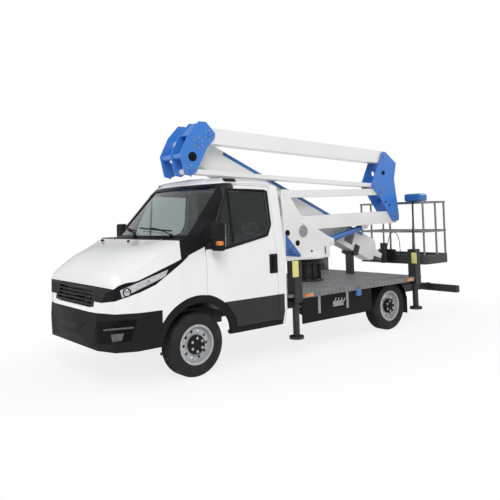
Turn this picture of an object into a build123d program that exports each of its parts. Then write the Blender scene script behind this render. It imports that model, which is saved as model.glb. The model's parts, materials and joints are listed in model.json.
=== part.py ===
"""Truck-mounted aerial work platform: a cab-chassis van with folding arms, a telescopic boom and a basket.

Frame: +X forward, +Y to the truck's left, +Z up, in millimetres. The origin is on the ground under the
middle of the truck's length. Stations called "behind" are measured rearwards from the front axle.
"""
import os
from math import atan2, cos, degrees, hypot, radians, sin

from build123d import *

os.makedirs("parts", exist_ok=True)

# Overall lengths, rearwards from the front axle
FRONT_OVERHANG = 1048.0
TAIL = 5420.0
WHEELBASE = 3450.0
FRONT_AXLE = (TAIL - FRONT_OVERHANG) / 2

# Fits
SEAT = 0.3
PANEL_GAP = 5.0
PIN_PLAY = 0.3

# Wheels and tyres
TYRE_RADIUS = 349.0
TYRE_WIDTH = 225.0
TYRE_SHOULDER = 38.0
RIM_RADIUS = 205.0
RIM_WIDTH = 190.0
RIM_WALL = 10.0
FLANGE_RADIUS = 217.0
FLANGE_WIDTH = 8.0
DISC_FACE = 58.0
DISC_THICKNESS = 14.0
DISC_HOLES = 10
DISC_HOLE_RADIUS = 17.0
DISC_HOLE_CIRCLE = 146.0
HUB_COVER_RADIUS = 68.0
HUB_COVER_LENGTH = 45.0
FRONT_TRACK = 1696.0
REAR_TRACK = 1540.0
AXLE_HEIGHT = TYRE_RADIUS

# Chassis
RAIL_OUTER = 432.0
RAIL_WIDTH = 65.0
RAIL_BOTTOM = 500.0
RAIL_TOP = 660.0
RAIL_FRONT = -960.0
RAIL_REAR = 4250.0
RAIL_WALL = 8.0
LAMP_BAR_BEHIND = 5130.0
LAMP_BAR_DEPTH = 80.0
LAMP_BAR_BOTTOM = 372.0
LAMP_BAR_TOP = 484.0
LAMP_BAR_HALF = 950.0
LAMP_ARM_FRONT = 4100.0

# Cab
CAB_WALL = 40.0
CAB_BACK = 1285.0
CAB_BOTTOM = 400.0
CAB_HALF = 1005.0
CAB_ROOF = 2215.0
SHOULDER = 1250.0
DOOR_FRONT = 115.0
DOOR_REAR = 1145.0
DOOR_BOTTOM = 470.0
DOOR_TOP = 2108.0
DOOR_TOP_REAR = 2080.0
DOOR_SWING_ROOM = 14.0
BONNET_REAR = -205.0
BUMPER_TOP = 785.0
BUMPER_REAR = -450.0
ARCH_RADIUS = 455.0
ARCH_LIP = 540.0
ROOF_SEAM = 2125.0
GRILLE_HALF = 520.0
FLOOR_TOP = 700.0
FLOOR_THICKNESS = FLOOR_TOP - RAIL_TOP
FLOOR_HALF = 915.0
FIREWALL = 150.0
GLASS_INSET = 12.0
GLASS_THICKNESS = 6.0

# Deck and outriggers
DECK_FRONT = 1330.0
DECK_REAR = 4060.0
DECK_HALF = 1000.0
DECK_TOP = 740.0
DECK_THICKNESS = 30.0
DECK_RAIL_WIDTH = 14.0
DECK_RAIL_DEPTH = 62.0
# name, behind the front axle, height of the foot's underside
OUTRIGGER_STATIONS = (("front", 1475.0, 190.0), ("rear", 3965.0, 250.0))
COLUMN_SIDE = 130.0
COLUMN_CENTRE = 950.0
COLUMN_BOTTOM = 640.0
COLUMN_TOP = 1150.0
LEG_RADIUS = 42.0
LEG_TOP = 1100.0
FOOT_RADIUS = 92.0
FOOT_THICKNESS = 36.0

# Slewing base
SLEW_BEHIND = 2530.0
PEDESTAL_SIDE = 450.0
PEDESTAL_TOP = 1040.0
RING_RADIUS = 340.0
RING_TOP = 1080.0
TURRET_PLATE = 32.0

# Lateral layout of the arms: near plate, middle plate and far plate
PLATE = 15.0
NEAR_FACE = 240.0
MIDDLE_FACE = 20.0
FAR_FACE = -240.0
ARM_WIDTH = 184.0
BAND_CENTRE = (NEAR_FACE - PLATE + MIDDLE_FACE) / 2
BAND_WIDTH = NEAR_FACE - PLATE - MIDDLE_FACE
BOOM_CENTRE = (MIDDLE_FACE - PLATE + FAR_FACE) / 2
BOOM_BAND = MIDDLE_FACE - PLATE - FAR_FACE
PIN_RADIUS = 25.0
PIN_HEAD = 12.0

# Pins of the two parallelograms: behind the front axle, height
LOWER_FRONT = (2360.0, 1600.0)
LOWER_REAR = (4508.0, 1640.0)
LOWER_TIE_SHIFT = (-358.0, 420.0)
UPPER_REAR = (4256.0, 2630.0)
UPPER_FRONT = (730.0, 2775.0)
UPPER_TIE_SHIFT = (-290.0, -465.0)
LOWER_ARM_DEPTH = 200.0
LOWER_TIE_DEPTH = 106.0
UPPER_ARM_DEPTH = 204.0
UPPER_TIE_DEPTH = 60.0

# Lift cylinder
CYLINDER_BASE = (2921.0, 1310.0)
CYLINDER_EYE = (3780.0, 1490.0)
BARREL_RADIUS = 46.0
BARREL_BORE = 36.0
BARREL_LENGTH = 815.0
GLAND_LENGTH = 40.0
ROD_RADIUS = 28.0
PISTON_START = 60.0
PISTON_LENGTH = 50.0
ROD_PIN_RADIUS = 22.0
ROD_PIN_LENGTH = 140.0
ROD_HEAD = 78.0
LUG_GAP = 100.0
NOTCH_PLAY = 2.0
NOTCH_FLARE = 75.0
NOTCH_DEPTH = 85.0

# Telescopic boom, in its own line: along the boom from its pivot, and square to it
BOOM_PIVOT = (565.0, 2662.0)
BOOM_ANGLE = 23.4
BOOM_WIDTH = 216.0
BOOM_DEPTH = 360.0
BOOM_WALL = 12.0
BOOM_START = 70.0
BOOM_END = 3940.0
SECTION_STEP = 60.0
SECTION_PLAY = 0.3
MOUTH_LENGTH = 80.0
SECTION_INSET = 14.0
TIP_HINGE = 4200.0
BOSS_RADIUS = 80.0

# Basket
BASKET_FRONT = 4710.0
BASKET_WIDTH = 1400.0
BASKET_CENTRE = -55.0
BASKET_FLOOR = 840.0
BASKET_TOP = 1885.0
BASKET_MID = 1400.0
KICK_HEIGHT = 150.0
TUBE = 34.0
BASKET_CORNER = 110.0


def behind(distance):
    """The X of a station that lies this far behind the front axle."""
    return FRONT_AXLE - distance


def moved(pin, shift):
    """A pin's place shifted in the side view."""
    return (pin[0] + shift[0], pin[1] + shift[1])


def side_prism(outline, y_high, y_low, corner=0.0, grow=0.0):
    """A side-view outline of (behind, height) points, carried across from one side to the other."""
    with BuildPart(mode=Mode.PRIVATE) as prism:
        with BuildSketch(Plane.XZ.offset(-y_high)) as face:
            with BuildLine():
                Polyline(*[(behind(station), height) for station, height in outline], close=True)
            make_face()
            if corner:
                fillet(face.vertices(), corner)
            if grow:
                offset(amount=grow, kind=Kind.INTERSECTION, mode=Mode.REPLACE)
        extrude(amount=y_high - y_low)
    return prism.part


def cross_rod(place, radius, y_high, y_low):
    """A round bar across the truck at a (behind, height) place."""
    with BuildPart(Plane.XZ.offset(-y_high), mode=Mode.PRIVATE) as rod:
        with Locations((behind(place[0]), place[1])):
            Cylinder(radius, y_high - y_low, align=(Align.CENTER, Align.CENTER, Align.MIN))
    return rod.part


def block(front, rear, y_low, y_high, bottom, top):
    """A box between two stations, two sides and two heights."""
    with BuildPart(mode=Mode.PRIVATE) as box:
        with Locations((behind((front + rear) / 2), (y_low + y_high) / 2, (bottom + top) / 2)):
            Box(rear - front, y_high - y_low, top - bottom)
    return box.part


def share(whole, region, mode):
    """What a piece has in common with a region, or what is left of it outside the region."""
    with BuildPart(mode=Mode.PRIVATE) as piece:
        add(whole)
        add(region, mode=mode)
    return piece.part


def joined(*pieces):
    """Several solids as one."""
    with BuildPart(mode=Mode.PRIVATE) as whole:
        for piece in pieces:
            add(piece)
    return whole.part


def save(builder, name):
    """Labels a finished piece and writes it."""
    builder.part.label = name
    export_step(builder.part, f"parts/{name}.step")


# Wheels and tyres: name, behind the front axle, side, track
WHEELS = (
    ("front_left", 0.0, 1, FRONT_TRACK),
    ("front_right", 0.0, -1, FRONT_TRACK),
    ("rear_left", WHEELBASE, 1, REAR_TRACK),
    ("rear_right", WHEELBASE, -1, REAR_TRACK),
)
BEAD_HALF = RIM_WIDTH / 2 - FLANGE_WIDTH
SIDEWALL_RADIUS = (FLANGE_RADIUS + TYRE_RADIUS) / 2
for corner_name, station, side, track in WHEELS:
    # local x is the radius and local y runs outwards along the axle
    wheel_plane = Plane(
        origin=(behind(station), side * track / 2, AXLE_HEIGHT), x_dir=(0, 0, 1), z_dir=(-side, 0, 0)
    )
    axle_line = Axis(wheel_plane.origin, (0, 1, 0))
    with BuildPart() as tyre:
        with BuildSketch(wheel_plane) as section:
            with BuildLine():
                Polyline(
                    (RIM_RADIUS, -BEAD_HALF),
                    (RIM_RADIUS, BEAD_HALF),
                    (FLANGE_RADIUS + 2, BEAD_HALF),
                    (SIDEWALL_RADIUS, TYRE_WIDTH / 2),
                    (TYRE_RADIUS, TYRE_WIDTH / 2),
                    (TYRE_RADIUS, -TYRE_WIDTH / 2),
                    (SIDEWALL_RADIUS, -TYRE_WIDTH / 2),
                    (FLANGE_RADIUS + 2, -BEAD_HALF),
                    close=True,
                )
            make_face()
            fillet(section.vertices().group_by(Axis.X)[-1], TYRE_SHOULDER)
        revolve(axis=axle_line)
    save(tyre, f"tyre_{corner_name}")
    with BuildPart() as wheel:
        with BuildSketch(wheel_plane):
            with BuildLine():
                Polyline(
                    (RIM_RADIUS - RIM_WALL, -RIM_WIDTH / 2),
                    (FLANGE_RADIUS, -RIM_WIDTH / 2),
                    (FLANGE_RADIUS, -BEAD_HALF),
                    (RIM_RADIUS, -BEAD_HALF),
                    (RIM_RADIUS, BEAD_HALF),
                    (FLANGE_RADIUS, BEAD_HALF),
                    (FLANGE_RADIUS, RIM_WIDTH / 2),
                    (RIM_RADIUS - RIM_WALL, RIM_WIDTH / 2),
                    (RIM_RADIUS - RIM_WALL, DISC_FACE - DISC_THICKNESS),
                    (DISC_HOLE_CIRCLE, DISC_FACE),
                    (HUB_COVER_RADIUS + 30, DISC_FACE - DISC_THICKNESS),
                    (HUB_COVER_RADIUS, DISC_FACE - DISC_THICKNESS),
                    (HUB_COVER_RADIUS - 10, DISC_FACE - DISC_THICKNESS + HUB_COVER_LENGTH),
                    (0, DISC_FACE - DISC_THICKNESS + HUB_COVER_LENGTH),
                    (0, DISC_FACE - 2 * DISC_THICKNESS),
                    (HUB_COVER_RADIUS + 30, DISC_FACE - 2 * DISC_THICKNESS),
                    (DISC_HOLE_CIRCLE, DISC_FACE - DISC_THICKNESS),
                    (RIM_RADIUS - RIM_WALL, DISC_FACE - 2 * DISC_THICKNESS),
                    close=True,
                )
            make_face()
        revolve(axis=axle_line)
        with BuildSketch(Plane.XZ.offset(-side * track / 2)):
            with Locations((behind(station), AXLE_HEIGHT)):
                with PolarLocations(DISC_HOLE_CIRCLE, DISC_HOLES):
                    Circle(DISC_HOLE_RADIUS)
        extrude(amount=TYRE_WIDTH / 2, both=True, mode=Mode.SUBTRACT)
    save(wheel, f"wheel_{corner_name}")

# Steering knuckles with the hub and brake disc
KINGPIN = 690.0
KINGPIN_RADIUS = 34.0
KNUCKLE_BOTTOM = 195.0
KNUCKLE_TOP = 465.0
BRAKE_RADIUS = 150.0
BRAKE_THICKNESS = 26.0
SPINDLE_RADIUS = 46.0
HUB_FACE = FRONT_TRACK / 2 + DISC_FACE - 2 * DISC_THICKNESS - SEAT
for corner_name, side in (("left", 1), ("right", -1)):
    with BuildPart() as knuckle:
        with Locations((behind(0), side * KINGPIN, (KNUCKLE_BOTTOM + KNUCKLE_TOP) / 2)):
            Cylinder(KINGPIN_RADIUS, KNUCKLE_TOP - KNUCKLE_BOTTOM)
        add(cross_rod((0, AXLE_HEIGHT), SPINDLE_RADIUS,
                      *sorted((side * HUB_FACE, side * KINGPIN), reverse=True)))
        disc_sides = sorted((side * (HUB_FACE - 70), side * (HUB_FACE - 70 - BRAKE_THICKNESS)), reverse=True)
        add(cross_rod((0, AXLE_HEIGHT), BRAKE_RADIUS, *disc_sides))
    save(knuckle, f"knuckle_{corner_name}")

# Front axle: a cross beam under the rails with an upper and a lower arm each side
ARM_THICKNESS = 30.0
BEAM_HALF_LENGTH = 130.0
with BuildPart() as front_axle:
    add(block(-BEAM_HALF_LENGTH, BEAM_HALF_LENGTH, -RAIL_OUTER, RAIL_OUTER, RAIL_BOTTOM - 90, RAIL_BOTTOM))
    for side in (1, -1):
        with BuildSketch(Plane.XY.offset(KNUCKLE_TOP + SEAT)) as upper:
            with BuildLine():
                Polyline(
                    (behind(-BEAM_HALF_LENGTH), side * RAIL_OUTER),
                    (behind(-KINGPIN_RADIUS), side * (KINGPIN + KINGPIN_RADIUS)),
                    (behind(KINGPIN_RADIUS), side * (KINGPIN + KINGPIN_RADIUS)),
                    (behind(BEAM_HALF_LENGTH), side * RAIL_OUTER),
                    close=True,
                )
            make_face()
        extrude(amount=ARM_THICKNESS)
        with BuildSketch(Plane.XY.offset(KNUCKLE_BOTTOM - SEAT - ARM_THICKNESS)) as lower:
            with BuildLine():
                Polyline(
                    (behind(-BEAM_HALF_LENGTH), side * (RAIL_OUTER - RAIL_WIDTH)),
                    (behind(-KINGPIN_RADIUS), side * (KINGPIN + KINGPIN_RADIUS)),
                    (behind(KINGPIN_RADIUS), side * (KINGPIN + KINGPIN_RADIUS)),
                    (behind(BEAM_HALF_LENGTH), side * (RAIL_OUTER - RAIL_WIDTH)),
                    close=True,
                )
            make_face()
        extrude(amount=ARM_THICKNESS)
        inner = sorted((side * (RAIL_OUTER - RAIL_WIDTH), side * RAIL_OUTER))
        add(block(-60, 60, *inner, KNUCKLE_BOTTOM - SEAT - ARM_THICKNESS, RAIL_BOTTOM - 60))
save(front_axle, "front_axle")

# Rear axle: tube, differential, leaf springs under the rails and the propeller shaft
AXLE_TUBE_RADIUS = 58.0
DIFFERENTIAL_RADIUS = 150.0
SPRING_HALF = 600.0
SPRING_THICKNESS = 36.0
SPRING_DROP = AXLE_HEIGHT + AXLE_TUBE_RADIUS - 6
SHAFT_RADIUS = 40.0
GEARBOX_REAR = 900.0
GEARBOX_AXIS = 470.0
HUB_INNER = REAR_TRACK / 2 + DISC_FACE - 2 * DISC_THICKNESS - SEAT
with BuildPart() as rear_axle:
    add(cross_rod((WHEELBASE, AXLE_HEIGHT), AXLE_TUBE_RADIUS, HUB_INNER, -HUB_INNER))
    with Locations((behind(WHEELBASE), 0, AXLE_HEIGHT)):
        Sphere(DIFFERENTIAL_RADIUS)
    for side in (1, -1):
        spring_top = max(side * RAIL_OUTER, side * (RAIL_OUTER - RAIL_WIDTH))
        with BuildSketch(Plane.XZ.offset(-spring_top)):
            with BuildLine():
                ends = RAIL_BOTTOM - SPRING_THICKNESS
                ThreePointArc(
                    (behind(WHEELBASE - SPRING_HALF), ends),
                    (behind(WHEELBASE), SPRING_DROP),
                    (behind(WHEELBASE + SPRING_HALF), ends),
                )
                Line((behind(WHEELBASE + SPRING_HALF), ends), (behind(WHEELBASE + SPRING_HALF), RAIL_BOTTOM))
                ThreePointArc(
                    (behind(WHEELBASE + SPRING_HALF), RAIL_BOTTOM),
                    (behind(WHEELBASE), SPRING_DROP + SPRING_THICKNESS),
                    (behind(WHEELBASE - SPRING_HALF), RAIL_BOTTOM),
                )
                Line((behind(WHEELBASE - SPRING_HALF), RAIL_BOTTOM), (behind(WHEELBASE - SPRING_HALF), ends))
            make_face()
        extrude(amount=RAIL_WIDTH)
    shaft_start = (behind(WHEELBASE), 0, AXLE_HEIGHT)
    shaft_end = (behind(GEARBOX_REAR + SEAT), 0, GEARBOX_AXIS)
    shaft_line = Vector(*shaft_end) - Vector(*shaft_start)
    with BuildSketch(Plane(origin=shaft_start, z_dir=shaft_line)):
        Circle(SHAFT_RADIUS)
    extrude(amount=shaft_line.length - SHAFT_RADIUS * (GEARBOX_AXIS - AXLE_HEIGHT) / (WHEELBASE - GEARBOX_REAR))
save(rear_axle, "rear_axle")

# Chassis frame: two channel rails, cross members and the rear lamp bar on its two arms
CROSS_MEMBERS = (-820.0, 1000.0, 1900.0, 2900.0, 4200.0)
CROSS_MEMBER_LENGTH = 70.0
CROSS_MEMBER_BOTTOM = 560.0
CROSS_MEMBER_TOP = 650.0
with BuildPart() as chassis_frame:
    for side in (1, -1):
        rail_sides = sorted((side * RAIL_OUTER, side * (RAIL_OUTER - RAIL_WIDTH)))
        add(block(RAIL_FRONT, RAIL_REAR, *rail_sides, RAIL_BOTTOM, RAIL_TOP))
        hollow = sorted((side * (RAIL_OUTER - RAIL_WALL), side * (RAIL_OUTER - RAIL_WIDTH)))
        channel = block(
            RAIL_FRONT, RAIL_REAR, *hollow, RAIL_BOTTOM + RAIL_WALL, RAIL_TOP - RAIL_WALL
        )
        add(channel, mode=Mode.SUBTRACT)
        add(block(LAMP_ARM_FRONT, LAMP_BAR_BEHIND, *rail_sides, LAMP_BAR_TOP - 75, RAIL_BOTTOM))
    for station in CROSS_MEMBERS:
        half = RAIL_OUTER - RAIL_WALL
        rear = station + CROSS_MEMBER_LENGTH
        add(block(station, rear, -half, half, CROSS_MEMBER_BOTTOM, CROSS_MEMBER_TOP))
    bar_front = LAMP_BAR_BEHIND - LAMP_BAR_DEPTH / 2
    bar_rear = LAMP_BAR_BEHIND + LAMP_BAR_DEPTH / 2
    add(block(bar_front, bar_rear, -LAMP_BAR_HALF, LAMP_BAR_HALF, LAMP_BAR_BOTTOM, LAMP_BAR_TOP))
save(chassis_frame, "chassis_frame")

# Tail lamps on the back of the lamp bar
TAIL_LAMP_WIDTH = 260.0
TAIL_LAMP_HEIGHT = 90.0
TAIL_LAMP_DEPTH = 32.0
with BuildPart() as tail_lamps:
    lamp_middle = (LAMP_BAR_BOTTOM + LAMP_BAR_TOP) / 2
    for side in (1, -1):
        sides = sorted((side * (LAMP_BAR_HALF - 10), side * (LAMP_BAR_HALF - 10 - TAIL_LAMP_WIDTH)))
        low = lamp_middle - TAIL_LAMP_HEIGHT / 2
        add(block(bar_rear, bar_rear + TAIL_LAMP_DEPTH, *sides, low, low + TAIL_LAMP_HEIGHT))
    fillet(tail_lamps.edges().filter_by(Axis.X), 14.0)
save(tail_lamps, "tail_lamps")

# Engine and gearbox as one plain block on the front beam
ENGINE_HALF = 300.0
ENGINE_FRONT = -560.0
ENGINE_REAR = 120.0
ENGINE_TOP = 1080.0
GEARBOX_HALF = 170.0
with BuildPart() as engine:
    add(block(ENGINE_FRONT, ENGINE_REAR, -ENGINE_HALF, ENGINE_HALF, RAIL_BOTTOM, ENGINE_TOP))
    gearbox_bottom = GEARBOX_AXIS - GEARBOX_HALF / 2
    gearbox_front = BEAM_HALF_LENGTH + 2 * PANEL_GAP
    add(block(ENGINE_REAR, gearbox_front, -GEARBOX_HALF, GEARBOX_HALF, RAIL_BOTTOM, CROSS_MEMBER_BOTTOM))
    add(block(gearbox_front, GEARBOX_REAR, -GEARBOX_HALF, GEARBOX_HALF, gearbox_bottom, CROSS_MEMBER_BOTTOM))
save(engine, "engine")

# Fuel tank on the right rail
TANK_WIDTH = 420.0
with BuildPart() as fuel_tank:
    add(block(1650.0, 2450.0, -RAIL_OUTER - TANK_WIDTH, -RAIL_OUTER, 400.0, 650.0))
    fillet(fuel_tank.edges().filter_by(Axis.Y), 60.0)
save(fuel_tank, "fuel_tank")

# Cab shell: side view, plan and cross-section cut each other to the outer form
SCREEN_FOOT = -190.0
COWL_HEIGHT = 1500.0
COWL_SHELF = 50.0
COWL_DROP = 30.0
SCREEN_RUN = 590.0
SCREEN_RISE = 630.0
SCREEN_SWEEP = 230.0
CAB_SIDE = (
    (CAB_BACK, CAB_BOTTOM), (CAB_BACK, 2085.0), (1190.0, 2165.0), (900.0, 2203.0), (560.0, CAB_ROOF),
    (400.0, 2130.0), (SCREEN_FOOT, COWL_HEIGHT), (SCREEN_FOOT - COWL_SHELF, COWL_HEIGHT - COWL_DROP),
    (-860.0, 1095.0),
    (-960.0, 1000.0), (-985.0, 900.0), (-1000.0, 800.0), (-FRONT_OVERHANG, 772.0), (-FRONT_OVERHANG, 520.0),
    (-1010.0, CAB_BOTTOM),
)
CAB_PLAN = ((CAB_BACK, CAB_HALF), (-250.0, CAB_HALF), (-700.0, 975.0), (-920.0, 860.0), (-1010.0, 620.0))
CAB_SECTION = (
    (960.0, CAB_BOTTOM), (CAB_HALF, 560.0), (CAB_HALF, SHOULDER), (985.0, 1335.0), (880.0, 2075.0),
    (700.0, 2190.0)
)


def cab_solid(inset):
    """The cab's outer form with every face moved in by the same distance."""
    with BuildPart(mode=Mode.PRIVATE) as form:
        with BuildSketch(Plane.XZ.offset(-CAB_HALF)):
            with BuildLine():
                Polyline(*[(behind(station), height) for station, height in CAB_SIDE], close=True)
            make_face()
            if inset:
                offset(amount=-inset, kind=Kind.INTERSECTION, mode=Mode.REPLACE)
        extrude(amount=2 * CAB_HALF)
        with BuildSketch(Plane.XY):
            with BuildLine():
                half = [(behind(station), y) for station, y in CAB_PLAN]
                nose = [(behind(-FRONT_OVERHANG), 200.0), (behind(-FRONT_OVERHANG), -200.0)]
                Polyline(*half, *nose, *[(x, -y) for x, y in reversed(half)], close=True)
            make_face()
            if inset:
                offset(amount=-inset, kind=Kind.INTERSECTION, mode=Mode.REPLACE)
        extrude(amount=CAB_ROOF + 100, mode=Mode.INTERSECT)
        with BuildSketch(Plane.YZ.offset(behind(CAB_BACK))):
            with BuildLine():
                right = [(-y, height) for y, height in CAB_SECTION]
                crown = (0.0, CAB_ROOF)
                Polyline(*CAB_SECTION, crown, *reversed(right), close=True)
            make_face()
            if inset:
                offset(amount=-inset, kind=Kind.INTERSECTION, mode=Mode.REPLACE)
        extrude(amount=CAB_BACK + FRONT_OVERHANG, mode=Mode.INTERSECT)
    cowl = COWL_HEIGHT - inset
    above = block(-FRONT_OVERHANG, CAB_BACK, -CAB_HALF, CAB_HALF, cowl, CAB_ROOF)
    with BuildPart(mode=Mode.PRIVATE) as greenhouse:
        # the screen is bowed in plan: an arc carried up along the screen's slope
        with BuildSketch(Plane.XY.offset(COWL_HEIGHT)):
            with BuildLine():
                ends = behind(SCREEN_FOOT + SCREEN_SWEEP)
                rear = behind(2 * CAB_BACK)
                ThreePointArc((ends, CAB_HALF), (behind(SCREEN_FOOT), 0), (ends, -CAB_HALF))
                Polyline((ends, -CAB_HALF), (rear, -CAB_HALF), (rear, CAB_HALF), (ends, CAB_HALF))
            make_face()
            if inset:
                set_back = inset * hypot(SCREEN_RUN, SCREEN_RISE) / SCREEN_RISE
                offset(amount=-set_back, kind=Kind.INTERSECTION, mode=Mode.REPLACE)
        slope = Vector(-SCREEN_RUN, 0, SCREEN_RISE).normalized()
        extrude(amount=2 * CAB_BACK, dir=slope, both=True)
        add(above, mode=Mode.INTERSECT)
        add(form.part, mode=Mode.INTERSECT)
    return joined(share(form.part, above, Mode.SUBTRACT), greenhouse.part)


SCREEN_SILL = 30.0
SCREEN_BOTTOM = COWL_HEIGHT + SCREEN_SILL
SCREEN_TOP = 2085.0
SCREEN_HALF_BOTTOM = 820.0
SCREEN_HALF_TOP = 735.0


def screen_prism(grow):
    """The windscreen opening, carried along the truck through the front wall only."""
    with BuildPart(mode=Mode.PRIVATE) as prism:
        with BuildSketch(Plane.YZ.offset(behind(470.0))):
            with BuildLine():
                Polyline(
                    (-SCREEN_HALF_BOTTOM, SCREEN_BOTTOM), (SCREEN_HALF_BOTTOM, SCREEN_BOTTOM),
                    (SCREEN_HALF_TOP, SCREEN_TOP), (-SCREEN_HALF_TOP, SCREEN_TOP), close=True,
                )
            make_face()
            if grow:
                offset(amount=grow, kind=Kind.INTERSECTION, mode=Mode.REPLACE)
        extrude(amount=900.0)
    return prism.part


DOOR_OUTLINE = (
    (DOOR_FRONT, 1345.0), (DOOR_FRONT, DOOR_BOTTOM), (DOOR_REAR, DOOR_BOTTOM), (DOOR_REAR, DOOR_TOP_REAR),
    (505.0, DOOR_TOP)
)
WINDOW_OUTLINE = (
    (215.0, 1395.0), (495.0, 2050.0), (1100.0, 2030.0), (1100.0, 1615.0), (1030.0, 1490.0), (400.0, 1372.0)
)
SHOULDER_LINE = ((-1000.0, 1000.0), (DOOR_FRONT - PANEL_GAP, 1405.0))
LAMP_LOWER = ((-1000.0, 885.0), (-520.0, 1050.0), (-120.0, 1312.0))


def shoulder_height(station):
    """Height of the shoulder line, where bonnet and lamps meet the wings, at a station."""
    (start, low), (end, high) = SHOULDER_LINE
    return low + (station - start) * (high - low) / (end - start)


def ring_prism(radius):
    """The front wheel arch as a cylinder across the truck."""
    return cross_rod((0.0, AXLE_HEIGHT), radius, CAB_HALF + 50, -CAB_HALF - 50)


# Pin hinges of the doors and the bonnet, on the outer skin in the middle of the panel gap
HINGE_RADIUS = 9.0
HINGE_PIN = 5.0
HINGE_LEAF = 20.0
HINGE_ROOM = 3.0
DOOR_HINGES = (940.0, 1150.0)
BONNET_HINGES = (-630.0, 570.0)
bonnet_axis = BONNET_REAR - PANEL_GAP / 2
bonnet_axis_height = COWL_HEIGHT - COWL_DROP * (SCREEN_FOOT - bonnet_axis) / COWL_SHELF
hinge_station = behind(DOOR_FRONT - PANEL_GAP / 2)
left_hinges = [Plane(origin=(hinge_station, CAB_HALF, height), z_dir=(0, 0, 1)) for height in DOOR_HINGES]
right_hinges = [Plane(origin=(hinge_station, -CAB_HALF, height), z_dir=(0, 0, 1)) for height in DOOR_HINGES]
bonnet_hinges = [
    Plane(origin=(behind(bonnet_axis), y, bonnet_axis_height), z_dir=(0, 1, 0)) for y in BONNET_HINGES
]
UP = (Align.CENTER, Align.CENTER, Align.MIN)


def hinge_barrels(plane, starts, radius, length):
    """Round barrels along a hinge's axis, at each start."""
    with BuildPart(mode=Mode.PRIVATE) as barrels:
        for start in starts:
            with Locations(plane.offset(start)):
                Cylinder(radius, length, align=UP)
    return barrels.part


FIXED_LEAVES = (0.0, 2 * HINGE_LEAF)
MOVING_LEAF = (HINGE_LEAF,)


def hang(hinges):
    """Adds the moving leaf of each hinge to the panel being built, with room for the fixed leaves."""
    for plane in hinges:
        add(hinge_barrels(plane, FIXED_LEAVES, HINGE_RADIUS + HINGE_ROOM, HINGE_LEAF), mode=Mode.SUBTRACT)
        add(hinge_barrels(plane, (HINGE_LEAF + SEAT,), HINGE_RADIUS, HINGE_LEAF - 2 * SEAT))
        add(hinge_barrels(plane, (0.0,), HINGE_PIN + PIN_PLAY, 3 * HINGE_LEAF), mode=Mode.SUBTRACT)


def carry(hinges):
    """Adds the fixed leaves and pin of each hinge to the panel being built, with room for the moving leaf."""
    for plane in hinges:
        add(hinge_barrels(plane, MOVING_LEAF, HINGE_RADIUS + HINGE_ROOM, HINGE_LEAF), mode=Mode.SUBTRACT)
        add(hinge_barrels(plane, FIXED_LEAVES, HINGE_RADIUS, HINGE_LEAF))
        add(hinge_barrels(plane, (0.0,), HINGE_PIN, 3 * HINGE_LEAF))


DOOR_INNER = 760.0
SIDES = (
    ("left", CAB_HALF + 50, DOOR_INNER, left_hinges),
    ("right", -DOOR_INNER, -CAB_HALF - 50, right_hinges),
)
cab_outer = cab_solid(0.0)
shell = share(cab_outer, cab_solid(CAB_WALL), Mode.SUBTRACT)
shell = share(shell, screen_prism(0.0), Mode.SUBTRACT)
shell = share(shell, ring_prism(ARCH_RADIUS), Mode.SUBTRACT)
# open below: front station, rear station, half width of the opening
for front, rear, half in ((-940.0, -700.0, 770.0), (-700.0, CAB_BACK + 50, 900.0)):
    shell = share(shell, block(front, rear, -half, half, 0.0, RAIL_TOP + SEAT), Mode.SUBTRACT)

# Doors with their windows cut, each as thick as the wall; the rear top corner is drawn in to clear as it swings
swing_low = DOOR_TOP_REAR - 6 * DOOR_SWING_ROOM
SWING_CORNER = (
    (DOOR_REAR - DOOR_SWING_ROOM, DOOR_TOP), (DOOR_REAR, swing_low), (CAB_BACK, swing_low),
    (CAB_BACK, DOOR_TOP)
)
arch_clear = ring_prism(ARCH_LIP + PANEL_GAP)
for side_name, y_high, y_low, hinges in SIDES:
    door_region = side_prism(DOOR_OUTLINE, y_high, y_low)
    window = side_prism(WINDOW_OUTLINE, y_high, y_low)
    with BuildPart() as door:
        add(shell)
        add(door_region, mode=Mode.INTERSECT)
        add(arch_clear, mode=Mode.SUBTRACT)
        add(window, mode=Mode.SUBTRACT)
        add(side_prism(SWING_CORNER, y_high, y_low), mode=Mode.SUBTRACT)
        hang(hinges)
    save(door, f"door_{side_name}")
    with BuildPart() as door_glass:
        add(cab_solid(GLASS_INSET))
        add(cab_solid(GLASS_INSET + GLASS_THICKNESS), mode=Mode.SUBTRACT)
        add(side_prism(WINDOW_OUTLINE, y_high, y_low, grow=-SEAT), mode=Mode.INTERSECT)
    save(door_glass, f"door_glass_{side_name}")
for side_name, y_high, y_low, hinges in SIDES:
    door_hole = share(side_prism(DOOR_OUTLINE, y_high, y_low, grow=PANEL_GAP), ring_prism(ARCH_LIP),
                      Mode.SUBTRACT)
    shell = share(shell, door_hole, Mode.SUBTRACT)

with BuildPart() as windscreen:
    add(cab_solid(GLASS_INSET))
    add(cab_solid(GLASS_INSET + GLASS_THICKNESS), mode=Mode.SUBTRACT)
    add(screen_prism(-SEAT), mode=Mode.INTERSECT)
save(windscreen, "windscreen")

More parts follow.
